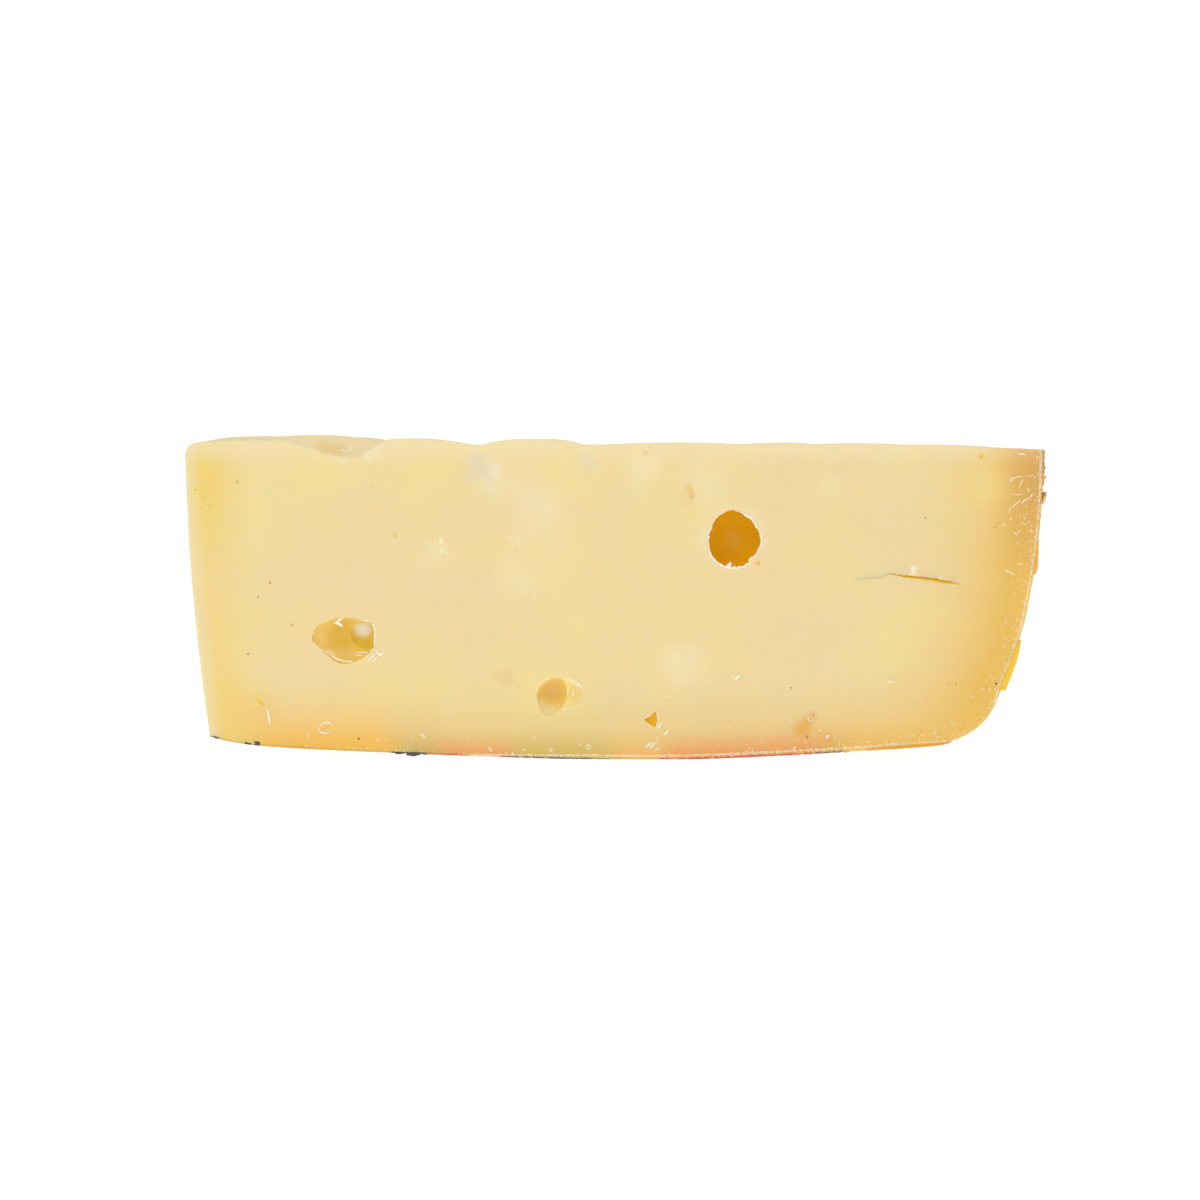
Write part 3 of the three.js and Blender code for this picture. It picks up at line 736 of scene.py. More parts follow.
def cut_paste(settings):
    """Pressed semi-hard cheese, cut with a knife: moist, slightly translucent, with a soft even sheen."""
    material, tree, shader = new_material("cut_cheese_paste")
    place, x, y, z, out = wheel_places(tree)
    behind_side, over_base = depth_behind_rind(tree, z, out)
    cloud, curd, fleck, drift, crackle, grain_noise = noises(
        tree, place, (0.045, 3), (0.16, 4), (1.5, 3), (0.22, 4), (1.3, 4), (1.6, 3)
    )

    # Slow clouds of a few centimetres, and faint streaks that the knife drew along the cut.
    cloudy = add(tree, "MapRange", (cloud, 0.38, 0.68))
    milky = add(tree, "MapRange", (curd, 0.56, 0.74, 0, 0.4))
    drawn = {"Vector": place, "Rotation": (0, 0.07, 0), "Scale": (0.03, 0.35, 0.8)}
    streak = noises(tree, add(tree, "Mapping", drawn), (1, 3))[0]
    streaky = add(tree, "MapRange", (streak, 0.5, 0.72, 0, 0.12))

    # The thin point, which leans back towards its foot, glows lemon, most near its top and its foot.
    down = add(tree, "MapRange", (z, CUT_HEIGHT, 0))
    bowed = add(tree, "Math", (down, 1 + LEAN_BOW), **POWER)
    from_point = add(tree, "Math", (bowed, -LEAN, x), **MULTIPLY_ADD)
    levels = ((0, 0.9), (0.2, 0.75), (0.33, 0.5), (0.6, 0.45), (0.84, 0.95))
    height = add(tree, "Math", (z, CUT_HEIGHT), **OVER)
    strength = ramp(tree, height, [(share, (level, level, level, 1)) for share, level in levels])
    glow = product(tree, add(tree, "MapRange", (from_point, 13.5, 3.6), **SMOOTH), strength)
    tip = add(tree, "MapRange", (from_point, 3.6, 0, 0, 0.7), **SMOOTH)

    # Beside the rind the paste is riper: golden, and browner towards the middle of the wheel.
    ripe = add(tree, "Math", (add(tree, "MapRange", (behind_side, 29, 4.5)), 2.1), **POWER)
    high = add(tree, "MapRange", (z, 33, 55), **SMOOTH)
    brown = product(tree, high, add(tree, "MapRange", (behind_side, 12, 0.5), **SMOOTH))
    # The coating's colours shine up through the last centimetre over the underside.
    glows = []
    for column, reach, wide, fall in ((3, 17, 5, 1.8), (2, 6, 2.5, 1.5)):
        over = add(tree, "Math", (add(tree, "MapRange", (over_base, reach, 1)), fall), **POWER)
        glows.append((over, ring_colours(tree, out, [linear(ring[column]) for ring in RINGS], soft=wide)))
    # The upper edge has dried, a little less on the level cut and beside the rind.
    dry = product(
        tree,
        add(tree, "MapRange", (z, 58, 62.9, 0, 0.7), **SMOOTH),
        add(tree, "MapRange", (y, 0.3, 2, 1, 0.7)),
        add(tree, "MapRange", (behind_side, 2, 16, 0.35, 1)),
    )
    # A thin pale seam of torn paste just inside the coating, and flecks of half a millimetre beside it.
    depth = add(tree, "Math", (behind_side, over_base), operation="MINIMUM")
    off_seam = add(tree, "Math", (add(tree, "Math", (depth, 0.85), **MINUS),), operation="ABSOLUTE")
    beads = add(tree, "MapRange", (fleck, 0.4, 0.6, 0.25, 0.85))
    seam = product(tree, add(tree, "MapRange", (off_seam, 0.28, 0.08)), beads)
    flecked = product(
        tree,
        add(tree, "MapRange", (fleck, 0.58, 0.66, 0, 0.5)),
        add(tree, "MapRange", (depth, 7, 0.8)),
        add(tree, "MapRange", (out, 60, 150)),
    )

    drift = add(tree, "VectorMath", (drift.node.outputs["Color"], (0.5, 0.5, 0.5)), **MINUS)
    warped = add(tree, "VectorMath", (drift, (6, 6, 6), place), **MULTIPLY_ADD)
    crackled = add(tree, "MapRange", (crackle, 0.46, 0.62))
    layers = [
        (cloudy, "F3DD9A"), (milky, settings.pale), (streaky, settings.pale), *glows, (ripe, settings.ripe),
        (brown, settings.rind), (glow, settings.point), (dry, "F3E1B6"), (tip, settings.pale),
        (flecked, "FBE7BE"), (seam, "FFE9C6"),
    ]
    for marks, where, core in (
        (SOFT_MARKS, warped, 0.1), (STAIN_MARKS, place, 0), (MILKY_MARKS, warped, 0.3), (SPECKS, place, 0.3)
    ):
        for mark_x, *mark_y, mark_z, radius, colour, level in marks:
            middle = (mark_x, *(mark_y or [0]), mark_z)
            inside = spot(tree, where, middle, radius, core, level, **SMOOTH)
            layers.append((product(tree, inside, crackled) if marks is MILKY_MARKS else inside, colour))
    # Specks in the rest of the paste, about one in each 15 mm, that only show on the other cuts.
    cells = add(tree, "TexVoronoi", {"Vector": warped, "Scale": 0.11})
    speck = add(tree, "MapRange", (cells, 0.036, 0.02))
    layers.append((product(tree, speck, add(tree, "MapRange", (y, 1, 3))), "9C7C46"))
    # Grain of about half a millimetre, and the streaks, raised by a few hundredths.
    height = add(tree, "Math", (grain_noise, streak), operation="ADD")
    fill(tree, shader, {
        "Base Color": layer_colours(tree, settings.paste, layers),
        "Roughness": 0.46,
        "IOR": 1.45,
        "Subsurface Weight": 0.35,
        "Subsurface Radius": (1.0, 0.62, 0.28),
        "Subsurface Scale": 2.5 * MM,
        "Normal": add(tree, "Bump", {"Height": height, "Strength": 0.3, "Distance": 0.12 * MM}),
    })
    return material


def eye_wall(settings):
    """The smooth skin that gas leaves round an eye: glossy, and deeper amber the deeper it lies, an amber
    that is painted shade and bounce light of the hollow over the wall's own paler colour.
    """
    material, tree, shader = new_material("glossy_eye_wall")
    place = wheel_places(tree)[0]
    depth = add(tree, "Attribute", output="Fac", attribute_name="eye_depth")
    patch = noises(tree, place, (0.5, 3))[0]
    layers = [
        # Painted shade and bounce light: the wall turns deeper amber the deeper it lies.
        (add(tree, "MapRange", (depth, 0.4, 5.5)), settings.eye),
        (add(tree, "MapRange", (patch, 0.4, 0.8, 0, 0.05)), settings.shallow),
    ]
    for *middle, radius, colour, level in EYE_MARKS:
        layers.append((spot(tree, place, middle, radius, 0.3, level, **SMOOTH), colour))
    fill(tree, shader, {
        "Base Color": layer_colours(tree, settings.shallow, layers),
        "Roughness": 0.36,
        "IOR": 1.4,
        "Subsurface Weight": 0.35,
        "Subsurface Radius": (1.0, 0.6, 0.2),
        "Subsurface Scale": 2.5 * MM,
        "Normal": add(tree, "Bump", {"Height": patch, "Strength": 0.2, "Distance": 0.2 * MM}),
    })
    return material


def bare_rind(settings):
    """Rind where the coating has chipped off: dry, dull and finely pitted."""
    material, tree, shader = new_material("bare_dry_rind")
    place = wheel_places(tree)[0]
    patch = noises(tree, place, (0.35, 5))[0]
    pits = add(tree, "TexVoronoi", {"Vector": place, "Scale": 1.1})
    pitted = add(tree, "MapRange", (pits, 0.28, 0.05, 0, 0.5))
    height = add(tree, "Math", (patch, pitted), **MINUS)
    fill(tree, shader, {
        "Base Color": layer_colours(tree, settings.rind, [(patch, settings.pale), (pitted, "B98A45")]),
        "Roughness": 0.68,
        "IOR": 1.45,
        "Subsurface Weight": 0.2,
        "Subsurface Radius": (1.0, 0.6, 0.25),
        "Subsurface Scale": 2 * MM,
        "Normal": add(tree, "Bump", {"Height": height, "Strength": 0.7, "Distance": 0.3 * MM}),
    })
    return material


def rind_plastic(settings):
    """Brushed-on acetate coating with worn print: thin, satin and slightly uneven."""
    material, tree, shader = new_material("satin_rind_coating")
    place, _, y, z, out = wheel_places(tree)
    jitter, scuff, grit = noises(tree, place, (0.5, 4), (0.8, 6), (1.8, 2))
    ragged = add(tree, "Math", (jitter, 3, out), **MULTIPLY_ADD)
    print_colour = ring_colours(tree, ragged, [getattr(settings, ring[1]) for ring in RINGS], soft=0)
    # On the side only one band is printed, beside the level cut.
    band_height = add(tree, "Math", (jitter, 4, z), **MULTIPLY_ADD)
    band = add(tree, "Math", (band_height, 59), operation="GREATER_THAN")
    # Beside the front cut the band has frayed into specks.
    frayed = product(tree, add(tree, "MapRange", (y, 4, 1.5)), band)
    layers = [
        (add(tree, "Math", (z, 6), operation="GREATER_THAN"), settings.coat),
        (band, settings.slate),
        (frayed, "E2AE6A"),
        (product(tree, add(tree, "MapRange", (grit, 0.5, 0.55)), frayed), "77715F"),
        (add(tree, "MapRange", (scuff, 0.54, 0.6, 0, 0.9)), settings.coat),
        (add(tree, "MapRange", (scuff, 0.64, 0.72, 0, 0.6)), "F3E3BC"),
    ]
    for mark_x, mark_z, radius, colour in SMUDGES:
        layers.append((spot(tree, place, (mark_x, 0, mark_z), radius, 0.7), colour))
    fill(tree, shader, {
        "Base Color": layer_colours(tree, print_colour, layers),
        "Roughness": 0.42,
        "IOR": 1.47,
        "Subsurface Weight": 0.2,
        "Subsurface Radius": (1.0, 0.5, 0.2),
        "Subsurface Scale": MM,
        "Normal": add(tree, "Bump", {"Height": scuff, "Strength": 0.5, "Distance": 0.25 * MM}),
    })
    return material


def torn_paste():
    """Torn shreds of paste that dried on the cut: pale, dull and rough, and waxier beside the rind."""
    material, tree, shader = new_material("dried_cheese_shreds")
    place, _, _, z, out = wheel_places(tree)
    waxy = product(tree, add(tree, "MapRange", (out, 118, 148)), add(tree, "MapRange", (z, 50, 36, 0.4, 0.9)))
    foot = spot(tree, place, (30, 0, 20), 6.5, 4 / 6.5, 0.6)
    layers = [(noises(tree, place, (0.9, 3))[0], "FFF3D6"), (waxy, "F8DEA2"), (foot, "FBE0A2")]
    colour = layer_colours(tree, linear("FFFFFA"), layers)
    fill(tree, shader, {"Base Color": colour, "Roughness": 0.55, "IOR": 1.45})
    return material


def studio_floor(settings):
    """Frosted opal glass, lit from below as a light table is, so that it is white and shadows stay pale."""
    material, tree, shader = new_material("plain_floor")
    fill(tree, shader, {
        "Base Color": settings.floor,
        "Roughness": 0.9,
        "Specular IOR Level": 0.1,
        "Emission Color": (1, 1, 1, 1),
        "Emission Strength": settings.glow,
    })
    return material



# ---- Pieces ----
def finish_piece(piece, bm):
    """Give the piece its shape on the frame's node, smooth but for its sharp edges."""
    bmesh.ops.triangulate(bm, faces=[f for f in bm.faces if len(f.verts) > 4])
    seat(bm)
    for face in bm.faces:
        face.smooth = True
    bm.to_mesh(piece.data)
    bm.free()
    piece.data.set_sharp_from_angle(angle=SHARP)
    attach(piece, "root")


def behind_cuts(co):
    """Distance from a point inside the wedge to the nearest of the three cuts."""
    behind = (co.x + BLUNT - point_stands_back(co.z)) * math.tan(WEDGE_ANGLE) - co.y
    to_top = CUT_HEIGHT + strokes(co.x, co.y) - co.z
    return max(0.0, min(co.y, behind * math.cos(WEDGE_ANGLE), to_top))


def facing_out(vert, kind):
    """The normals of a vertex's faces of one kind, added up."""
    return sum((face.normal for face in vert.link_faces if face.material_index == kind), Vector())


def relief(bm, settings):
    """Slow waves on the cuts, pulled-out rims round the eyes and crumbled edges beside the rind."""
    noise.seed_set(CRUMBLE_SEED)
    bm.normal_update()
    moves = []
    for vert in bm.verts:
        kinds = {face.material_index for face in vert.link_faces}
        wave = settings.wave / MM * (rough(vert.co, 17) + 0.35 * rough(vert.co, 3.4))
        move = vert.normal * wave if kinds != {EYE} else Vector()
        if kinds == {CUT, EYE}:
            pull = settings.lip / MM * (0.7 + 0.6 * rough(vert.co, 1.3))
            move += facing_out(vert, CUT).normalized() * pull
        elif RIND in kinds and CUT in kinds:
            move += 0.15 * noise.noise_vector(vert.co / 1.2)
        moves.append(move)
    for vert, move in zip(bm.verts, moves):
        vert.co += move


class CHEESE_OT_paste(bpy.types.Operator):
    """Add the paste: a piece of the wheel between the cuts, with its eyes and its crack"""

    bl_idname = "cheese.paste"
    bl_label = "Cut Paste"

    def execute(self, context):
        settings = context.scene.cheese_paste
        thickness = context.scene.cheese_coating.thickness / MM
        section = rind_section(thickness, 1.5)
        section.append((0, section[-1][1]))
        materials = (cut_paste(settings), eye_wall(settings), bare_rind(settings))
        piece = new_object("wedge_paste", block_between_cuts(settings.grid / MM), materials)
        combine(piece, spun(section, 2.5, PAST_POINT, RIND), "INTERSECT")
        for index, chip in enumerate(RIND_CHIPS):
            combine(piece, chip_cutter(chip, 0, index, RIND), "DIFFERENCE")
        for cutter in eye_cutters(settings.ragged / MM):
            combine(piece, cutter, "DIFFERENCE")
        combine(piece, crack_cutter(), "DIFFERENCE")
        bm = bmesh.new()
        bm.from_mesh(piece.data)
        layer = bm.verts.layers.float.new("eye_depth")
        for vert in bm.verts:
            vert[layer] = behind_cuts(vert.co)
        relief(bm, settings)
        finish_piece(piece, bm)
        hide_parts(NODE)
        return {"FINISHED"}


# Places where the coating chipped off beside the front and the back cut: x, z, turn in degrees, and
# half sizes along the section and round the wheel.
FRONT_CHIPS = (
    (171, 48.6, 4, 7.1, 8.5), (168.6, 30, 12, 7, 10.5), (159.4, 8.6, 47, 9.4, 10.5),
    (133.5, 1, 84, 2.7, 2.4), (60, 0.6, 92, 3.4, 2),
)
BACK_CHIPS = (
    (171.6, 56, 2, 4.2, 3.5), (167, 24.5, 16, 5.5, 4.6), (151, 3.5, 76, 6, 5.2), (97, 0, 90, 4.5, 2.6),
)


# Where the rind under the coating broke away too, just outside the rind's surface.
RIND_CHIPS = (
    (173, 54.3, 4, 0.9, 2.2),
)


def chip_cutter(chip, cut_angle, index, material=0):
    """A ragged lump that bites a chip out of the coating beside a cut."""
    x, z, lean, half, around = chip
    bm = bmesh.new()
    bmesh.ops.create_icosphere(bm, subdivisions=5, radius=1)
    for vert in bm.verts:
        torn = 1 + 0.22 * rough(vert.co, 0.5, 3.7 * index) + 0.1 * rough(vert.co, 0.17, index)
        vert.co = (vert.co.x * 1.7, vert.co.y * around * torn, vert.co.z * half * torn)
    turn(bm, math.radians(lean), "Y")
    shift(bm, x, 0.2, z)
    turn(bm, cut_angle, "Z")
    return close_up(bm, material)


def thick_flake(low, high, stations, around, index):
    """A thick flake of coating beside the front cut, between two heights, that stands a little proud."""
    line = [Vector((r, z)) for r, z in rind_section(0, 0.4) if low < z < high and r > FLAT_OUTER]
    bm = bmesh.new()
    outer, inner = [], []
    for step, (off, body) in enumerate(between(stations, len(line) - 1)):
        ahead = line[min(step + 1, len(line) - 1)] - line[max(step - 1, 0)]
        out = Vector((ahead.y, -ahead.x)).normalized()
        inner.append(line[step] + out * (off + 0.06 * rough((0.3 * step, index, 0), 0.7)))
        outer.append(line[step] + out * (off + body + 0.06 * rough((0.3 * step, index, 9), 0.7)))
    bm.faces.new([bm.verts.new((place.x, 0, place.y)) for place in outer + inner[::-1]])
    spin(bm, around / RIND_RADIUS, 12)
    for vert in bm.verts:
        back = vert.co.y / around
        vert.co.z += back * 1.2 * rough((vert.co.z, index, 0), 1.6)
        vert.co.x -= 0.5 * back
    shift(bm, 0, -FLAKE_PROUD, 0)
    return close_up(bm)


# Flakes: lowest and highest point; from the one to the other, how far the inner side lies outside the
# rind's surface and how thick the flake is; how far it runs round the wheel, and a seed.
FLAKES = (
    (13.8, 24, ((-0.5, 1.2), (-0.5, 1.35), (-0.5, 1.35), (-0.5, 1.25), (-0.5, 0.95), (-0.4, 0.4)), 7, 1),
    (37, 43.3, ((-0.4, 0.5), (-0.4, 0.8), (-0.45, 0.6), (-0.5, 0.55), (-0.5, 0.4)), 5, 2),
    (50.8, 53.6, ((-0.2, 0.3), (-0.1, 0.55), (0.1, 0.45), (0.2, 0.3)), 1.6, 3),
    (1.72, 3.35, ((-0.5, 0.2), (-0.6, 0.62), (-0.65, 0.68), (-0.65, 0.65), (-0.5, 0.2)), 5, 4),
)
FLAKE_PROUD = 0.06

# Loose bits of coating on the front cut's edge: x, z, length, width, thickness, turn in degrees.
LOOSE_BITS = (
    (171.9, 56.4, 0.8, 0.5, 0.3, 70), (172, 53.2, 1.1, 0.45, 0.25, 40), (171.8, 51.7, 0.9, 0.4, 0.3, 75),
    (171.9, 58.3, 0.7, 0.4, 0.25, 100), (171.6, 60.2, 0.5, 0.35, 0.25, 80),
    (170.6, 43.6, 0.8, 0.35, 0.25, 95), (45.6, 1.05, 3.6, 0.9, 0.85, 3), (42.9, 1.2, 2.4, 0.9, 0.45, 3),
    (48.2, 1.1, 1.8, 0.9, 0.4, 3), (14.3, 3.3, 1.5, 0.9, 0.95, -4), (12.4, 3.2, 1.6, 0.9, 0.45, -12),
    (6.2, 4.35, 1.8, 0.9, 0.45, -20), (106.5, 0.25, 1.4, 0.3, 0.25, 2), (132.3, 1.45, 1.2, 0.3, 0.25, 6),
)


class CHEESE_OT_coating(bpy.types.Operator):
    """Add the rind's plastic coating, chipped beside the cuts"""

    bl_idname = "cheese.coating"
    bl_label = "Rind Coating"

    def execute(self, context):
        settings = context.scene.cheese_coating
        thickness = settings.thickness / MM
        ring = rind_section(0, 1.2) + rind_section(thickness + 0.05, 1.2)[::-1]
        piece = new_object("rind_coating", spun(ring, 1.2, PAST_CUTS), [rind_plastic(settings)])
        combine(piece, block_between_cuts(3.0), "INTERSECT")
        chips = [(chip, 0) for chip in FRONT_CHIPS] + [(chip, WEDGE_ANGLE) for chip in BACK_CHIPS]
        for index, (chip, cut_angle) in enumerate(chips):
            combine(piece, chip_cutter(chip, cut_angle, index), "DIFFERENCE")
        bm = bmesh.new()
        bm.from_mesh(piece.data)
        for flake in FLAKES:
            add_shape(bm, thick_flake(*flake))
        for index, (x, z, *size, lean) in enumerate(LOOSE_BITS):
            bit = grain(size, index)
            turn(bit, -math.radians(lean), "Y")
            shift(bit, x, 0.15, z)
            add_shape(bm, bit)
        finish_piece(piece, bm)
        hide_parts(NODE)
        return {"FINISHED"}


# ---- Shreds ----
# Where the rims of the front cut's eyes are torn up most: x, z, reach and strength.
RIM_TEARS = (
    (113.7, 48.6, 4.4, 1.1), (115.2, 43.6, 5, 0.75), (113, 39.8, 4, 0.7), (109.6, 38.4, 5, 1.1),
    (105.6, 40.4, 5, 0.75), (104.2, 45.4, 5, 0.6), (37.7, 25, 4.2, 0.75), (36, 28, 2.4, 0.4),
    (26, 21.8, 2.4, 0.55), (78.2, 15.2, 2.4, 0.9), (70.2, 14.6, 2.6, 0.3), (75.6, 10.2, 1, 0.8),
    (93.2, 8, 4, 0.45),
)


def tear_at(place):
    """How far a rim is torn up at a place: all round on the back and level cuts, in places in front."""
    if place.y > 1.5:
        return 0.45
    tears = (
        strength * (1 - smooth_between(math.hypot(place.x - x, place.z - z), 0, reach))
        for x, z, reach, strength in RIM_TEARS
    )
    return max(tears) - 0.15


def torn_rims(paste, settings):
    """A thin ragged lip round every eye, bent a little over the hole."""
    rim = settings.rim / MM
    bm = bmesh.new()
    home, normal, inward = (bm.verts.layers.float_vector.new(name) for name in ("home", "normal", "inward"))
    made = {}
    ring = []
    for edge in paste.edges:
        if {face.material_index for face in edge.link_faces} != {CUT, EYE}:
            continue
        if CRACK[0][0] < edge.verts[0].co.x < CRACK[-1][0] and edge.verts[0].co.y < 1:
            continue
        for vert in edge.verts:
            if vert not in made:
                cut, wall = facing_out(vert, CUT).normalized(), facing_out(vert, EYE)
                made[vert] = bm.verts.new(vert.co)
                made[vert][home] = vert.co
                made[vert][normal] = cut
                made[vert][inward] = (wall - wall.dot(cut) * cut).normalized()
        ring.append(bm.edges.new([made[vert] for vert in edge.verts]))
    # Round the lip's section: up over the cut, out over the hole, down its wall and back under the cut.
    verts = bm.verts[:]
    for step in range(5):
        if step:
            grown = bmesh.ops.extrude_edge_only(bm, edges=ring)["geom"]
            verts = [v for v in grown if isinstance(v, bmesh.types.BMVert)]
            new = set(verts)
            ring = [e for e in grown if isinstance(e, bmesh.types.BMEdge) and set(e.verts) <= new]
        for vert in verts:
            place = vert[home]
            here = tear_at(place)
            torn = max(0.0, here + 0.3 * rough(place, 2.6, 3) + min(here + 0.2, 0.5) * rough(place, 0.6, 5))
            wide = rim * (0.25 + 0.8 * torn)
            reach = rim * (0.05 + 1.3 * torn * max(0.0, 0.3 + rough(place, 0.45, 8)))
            proud = rim * (0.15 + 0.35 * torn)
            foot = (-wide, -0.1)
            out, up = (foot, (-0.4 * wide, proud), (reach, 0.5 * proud), (0.4 * reach, -0.2), foot)[step]
            vert.co = place + min(1.0, 6 * torn) * (vert[inward] * out + vert[normal] * up)
    bmesh.ops.remove_doubles(bm, verts=bm.verts, dist=SAME_PLACE)
    bmesh.ops.delete(bm, geom=[edge for edge in bm.edges if not edge.link_faces], context="EDGES")
    bmesh.ops.delete(bm, geom=[vert for vert in bm.verts if not vert.link_faces], context="VERTS")
    return close_up(bm)


def shaving(path, width, thick, seed, tear=0.6):
    """A thin shred of paste along a path of x, height above the front cut and z, pointed at its ends."""
    bm = bmesh.new()
    bmesh.ops.create_grid(bm, x_segments=6 * len(path), y_segments=2, size=0.5)
    points = [Vector(place) for place in between(path, SHAVING_STEPS)]
    for vert in bm.verts:
        share, across = vert.co.x + 0.5, 2 * vert.co.y
        step = round(share * SHAVING_STEPS)
        index = min(SHAVING_STEPS - 2, max(1, step))
        along = (points[index + 1] - points[index - 1]).normalized()
        aside = along.cross(Vector((0, 1, 0)))
        uneven = 1 + tear * rough((8 * share, seed, across), 1.3)
        uneven += (tear - 0.6) * rough((share, seed, 5), 0.09)
        half = width / 2 * max(0.15, uneven) * max(0.12, math.sin(math.pi * share)) ** 0.6
        place = points[step] + aside * across * half
        vert.co = (place.x, -place.y - 0.35 * width * (1 - across * across), place.z)
    bmesh.ops.solidify(bm, geom=bm.faces[:], thickness=thick)
    return close_up(bm)


def grain(size, seed):
    """A crumb: long along X, wide along Y and flat along Z."""
    bm = bmesh.new()
    bmesh.ops.create_icosphere(bm, subdivisions=1, radius=0.5)
    for vert in bm.verts:
        lumpy = 1 + 0.5 * rough(vert.co, 0.35, seed)
        vert.co = [part * length * lumpy for part, length in zip(vert.co, size)]
    return bm


# Shreds beside the front cut: a path of x, height and z, then width and thickness, in millimetres.
SHREDS = (
    # a tab at the foot of the largest eye
    (((108.4, 0.02, 38.1), (108.6, 0.16, 38.8), (109.1, 0.28, 39.4)), 0.66, 0.1),
    # a curl that hangs from the top of the almond eye
    (((29.7, 0.05, 27.3), (30.4, 0.3, 27.5), (30.8, 0.25, 28), (31.6, 0.02, 28.35)), 0.34, 0.12),
    (((29.8, 0.1, 27.4), (30.5, 0.35, 27.3), (31.5, 0.3, 26.6)), 0.5, 0.12),
    # torn flaps along its foot
    (((26.6, -0.2, 22.4), (27.6, -0.5, 21.7), (29.2, -0.6, 21.3), (30, -0.6, 20.9)), 0.2, 0.1),
    (((28.6, -0.3, 21.1), (30.2, -0.3, 20.1), (32.6, -0.3, 19.5)), 0.26, 0.1),
    (((32, -0.2, 19.7), (32.8, -0.2, 19.6), (33.4, -0.2, 19.7)), 0.34, 0.1),
    # a broken ring round a pore
    (((27, 0, 6.9), (27.7, 0.08, 7.4), (28.7, 0.08, 7.4), (29.3, 0, 6.9)), 0.2, 0.1),
    (((27, 0, 6.7), (26.7, 0.08, 6.1), (27, 0.08, 5.5), (28, 0.08, 5.2), (28.9, 0, 5.6)), 0.2, 0.1),
    # smears to its lower right
    (((36.3, 0, 19.6), (37.4, 0.06, 20.6), (38.4, 0.04, 21.8)), 0.2, 0.1),
    (((37.3, 0, 19.5), (38, 0.05, 20.1), (38.3, 0.03, 20.7)), 0.26, 0.1),
    (
        ((38.6, 0, 21.9), (38.3, 0.08, 21.3), (38.8, 0.08, 20.9), (39.5, 0.03, 21.3), (39.4, 0, 21.9)),
        0.28, 0.1,
    ),
    # pale streaks on its shelf
    (((33.8, -1.6, 21.4), (35.2, -1.4, 21.5), (36.4, -1.2, 21.3)), 0.2, 0.1),
    (((33.6, -1.3, 20.9), (34.4, -1.3, 20.8), (35.4, -1.2, 20.9)), 0.18, 0.1),
    # a flap beside the cornered eye
    (((94.3, 0, 6.2), (94.8, 0.15, 6.7), (94.9, 0.05, 7.5)), 0.36, 0.12),
    # loose shavings
    (((16.3, 0, 10.3), (16.6, 0.12, 8.6), (17.1, 0, 6.9)), 0.42, 0.12),
    (((140.2, 0, 15.5), (141.1, 0.12, 15.7), (142.2, 0, 15.5)), 0.45, 0.14),
    (((109.7, 0, 15.8), (110.2, 0.12, 16.4), (110.9, 0, 16.9)), 0.4, 0.12),
    (((95.6, 0, 4.9), (96.1, 0.1, 5.3), (96.6, 0, 5.9)), 0.34, 0.12),
    # pale streaks in the tilted eye
    (((77.6, -0.6, 14), (77.5, -0.7, 13.2), (77.7, -0.6, 12.5)), 0.3, 0.1),
    (((76.4, -0.6, 14), (76.3, -0.7, 13.4), (76.4, -0.6, 12.8)), 0.14, 0.1),
    (((78, -0.4, 15.2), (78.4, -0.4, 14.6), (78.6, -0.3, 13.9)), 0.16, 0.1),
)
# Scratches with torn edges, straight from x, z to x, z, and their width.
SCRATCHES = (
    (164.6, 55.6, 165.9, 56.4, 0.3), (164.8, 56.6, 165.3, 55.6, 0.26), (165.6, 56.4, 167.4, 56.6, 0.14),
    (167.8, 56.6, 169.6, 56.7, 0.12), (167.6, 56.1, 166.6, 54.2, 0.2), (165.4, 53.1, 167.6, 53, 0.12),
    (169.4, 53.1, 168.8, 52.3, 0.28), (168.8, 52.4, 167, 51.2, 0.24), (167.2, 51.9, 165.4, 50.6, 0.16),
    (165.5, 50.7, 164.6, 49.5, 0.22), (164.7, 48.2, 165.3, 48.1, 0.3), (167.2, 47.4, 168.1, 47.1, 0.18),
    (168.4, 47.5, 168.9, 47.7, 0.26), (166.3, 45.2, 167.1, 45.9, 0.2), (169.1, 45.9, 169.4, 45.3, 0.3),
    (163.6, 38, 165.9, 36.9, 0.32), (166.3, 39.1, 167.4, 39.1, 0.2), (167.1, 41.4, 166.9, 39.9, 0.14),
    (166.4, 61.2, 168, 61.1, 0.26), (156.9, 12.7, 157.9, 12.4, 0.18), (159.1, 13.9, 159.9, 14.3, 0.24),
    (159.4, 12.7, 160.4, 12.1, 0.24), (160.6, 13.4, 160.9, 14.9, 0.16), (161.4, 16, 162.2, 16.6, 0.2),
    (144.9, 13.9, 145.9, 11.4, 0.12), (149.6, 6.1, 150.1, 4.9, 0.34), (153.6, 7.6, 154.1, 5.6, 0.26),
    (152.4, 9.4, 153.4, 6.9, 0.12), (144.9, 4.6, 146.1, 4.9, 0.2), (146.9, 4.9, 147.9, 5.1, 0.2),
    (128, 4.4, 128.8, 4.8, 0.5), (126.6, 6, 127.2, 5.8, 0.26), (92, 2.4, 93.4, 3.6, 0.24),
    (92.8, 1.9, 94, 3.4, 0.26), (93.8, 1.8, 95, 2.4, 0.24), (94.2, 3.2, 94.4, 4.4, 0.14),
    (60.6, 2.6, 61.2, 1.6, 0.26), (24.5, 5.2, 24.7, 3.8, 0.2), (46.9, 5.4, 48, 4.2, 0.22),
    (158.3, 23.9, 158.7, 23.9, 0.26), (141.2, 37.3, 147.5, 36.75, 0.12), (147.6, 36.72, 154, 35.75, 0.12),
    (30.9, 62, 32.2, 61.6, 0.34), (32.2, 62.6, 33.4, 61.2, 0.36), (36, 60, 37, 59.6, 0.3),
)
# Rings of crumbs: round a pore, and over a stain: x, z, radius and how many.
CRUMB_RINGS = (
    (80.6, 2.5, 0.35, 6), (125, 8, 0.45, 8), (73, 1.9, 0.3, 4),
)


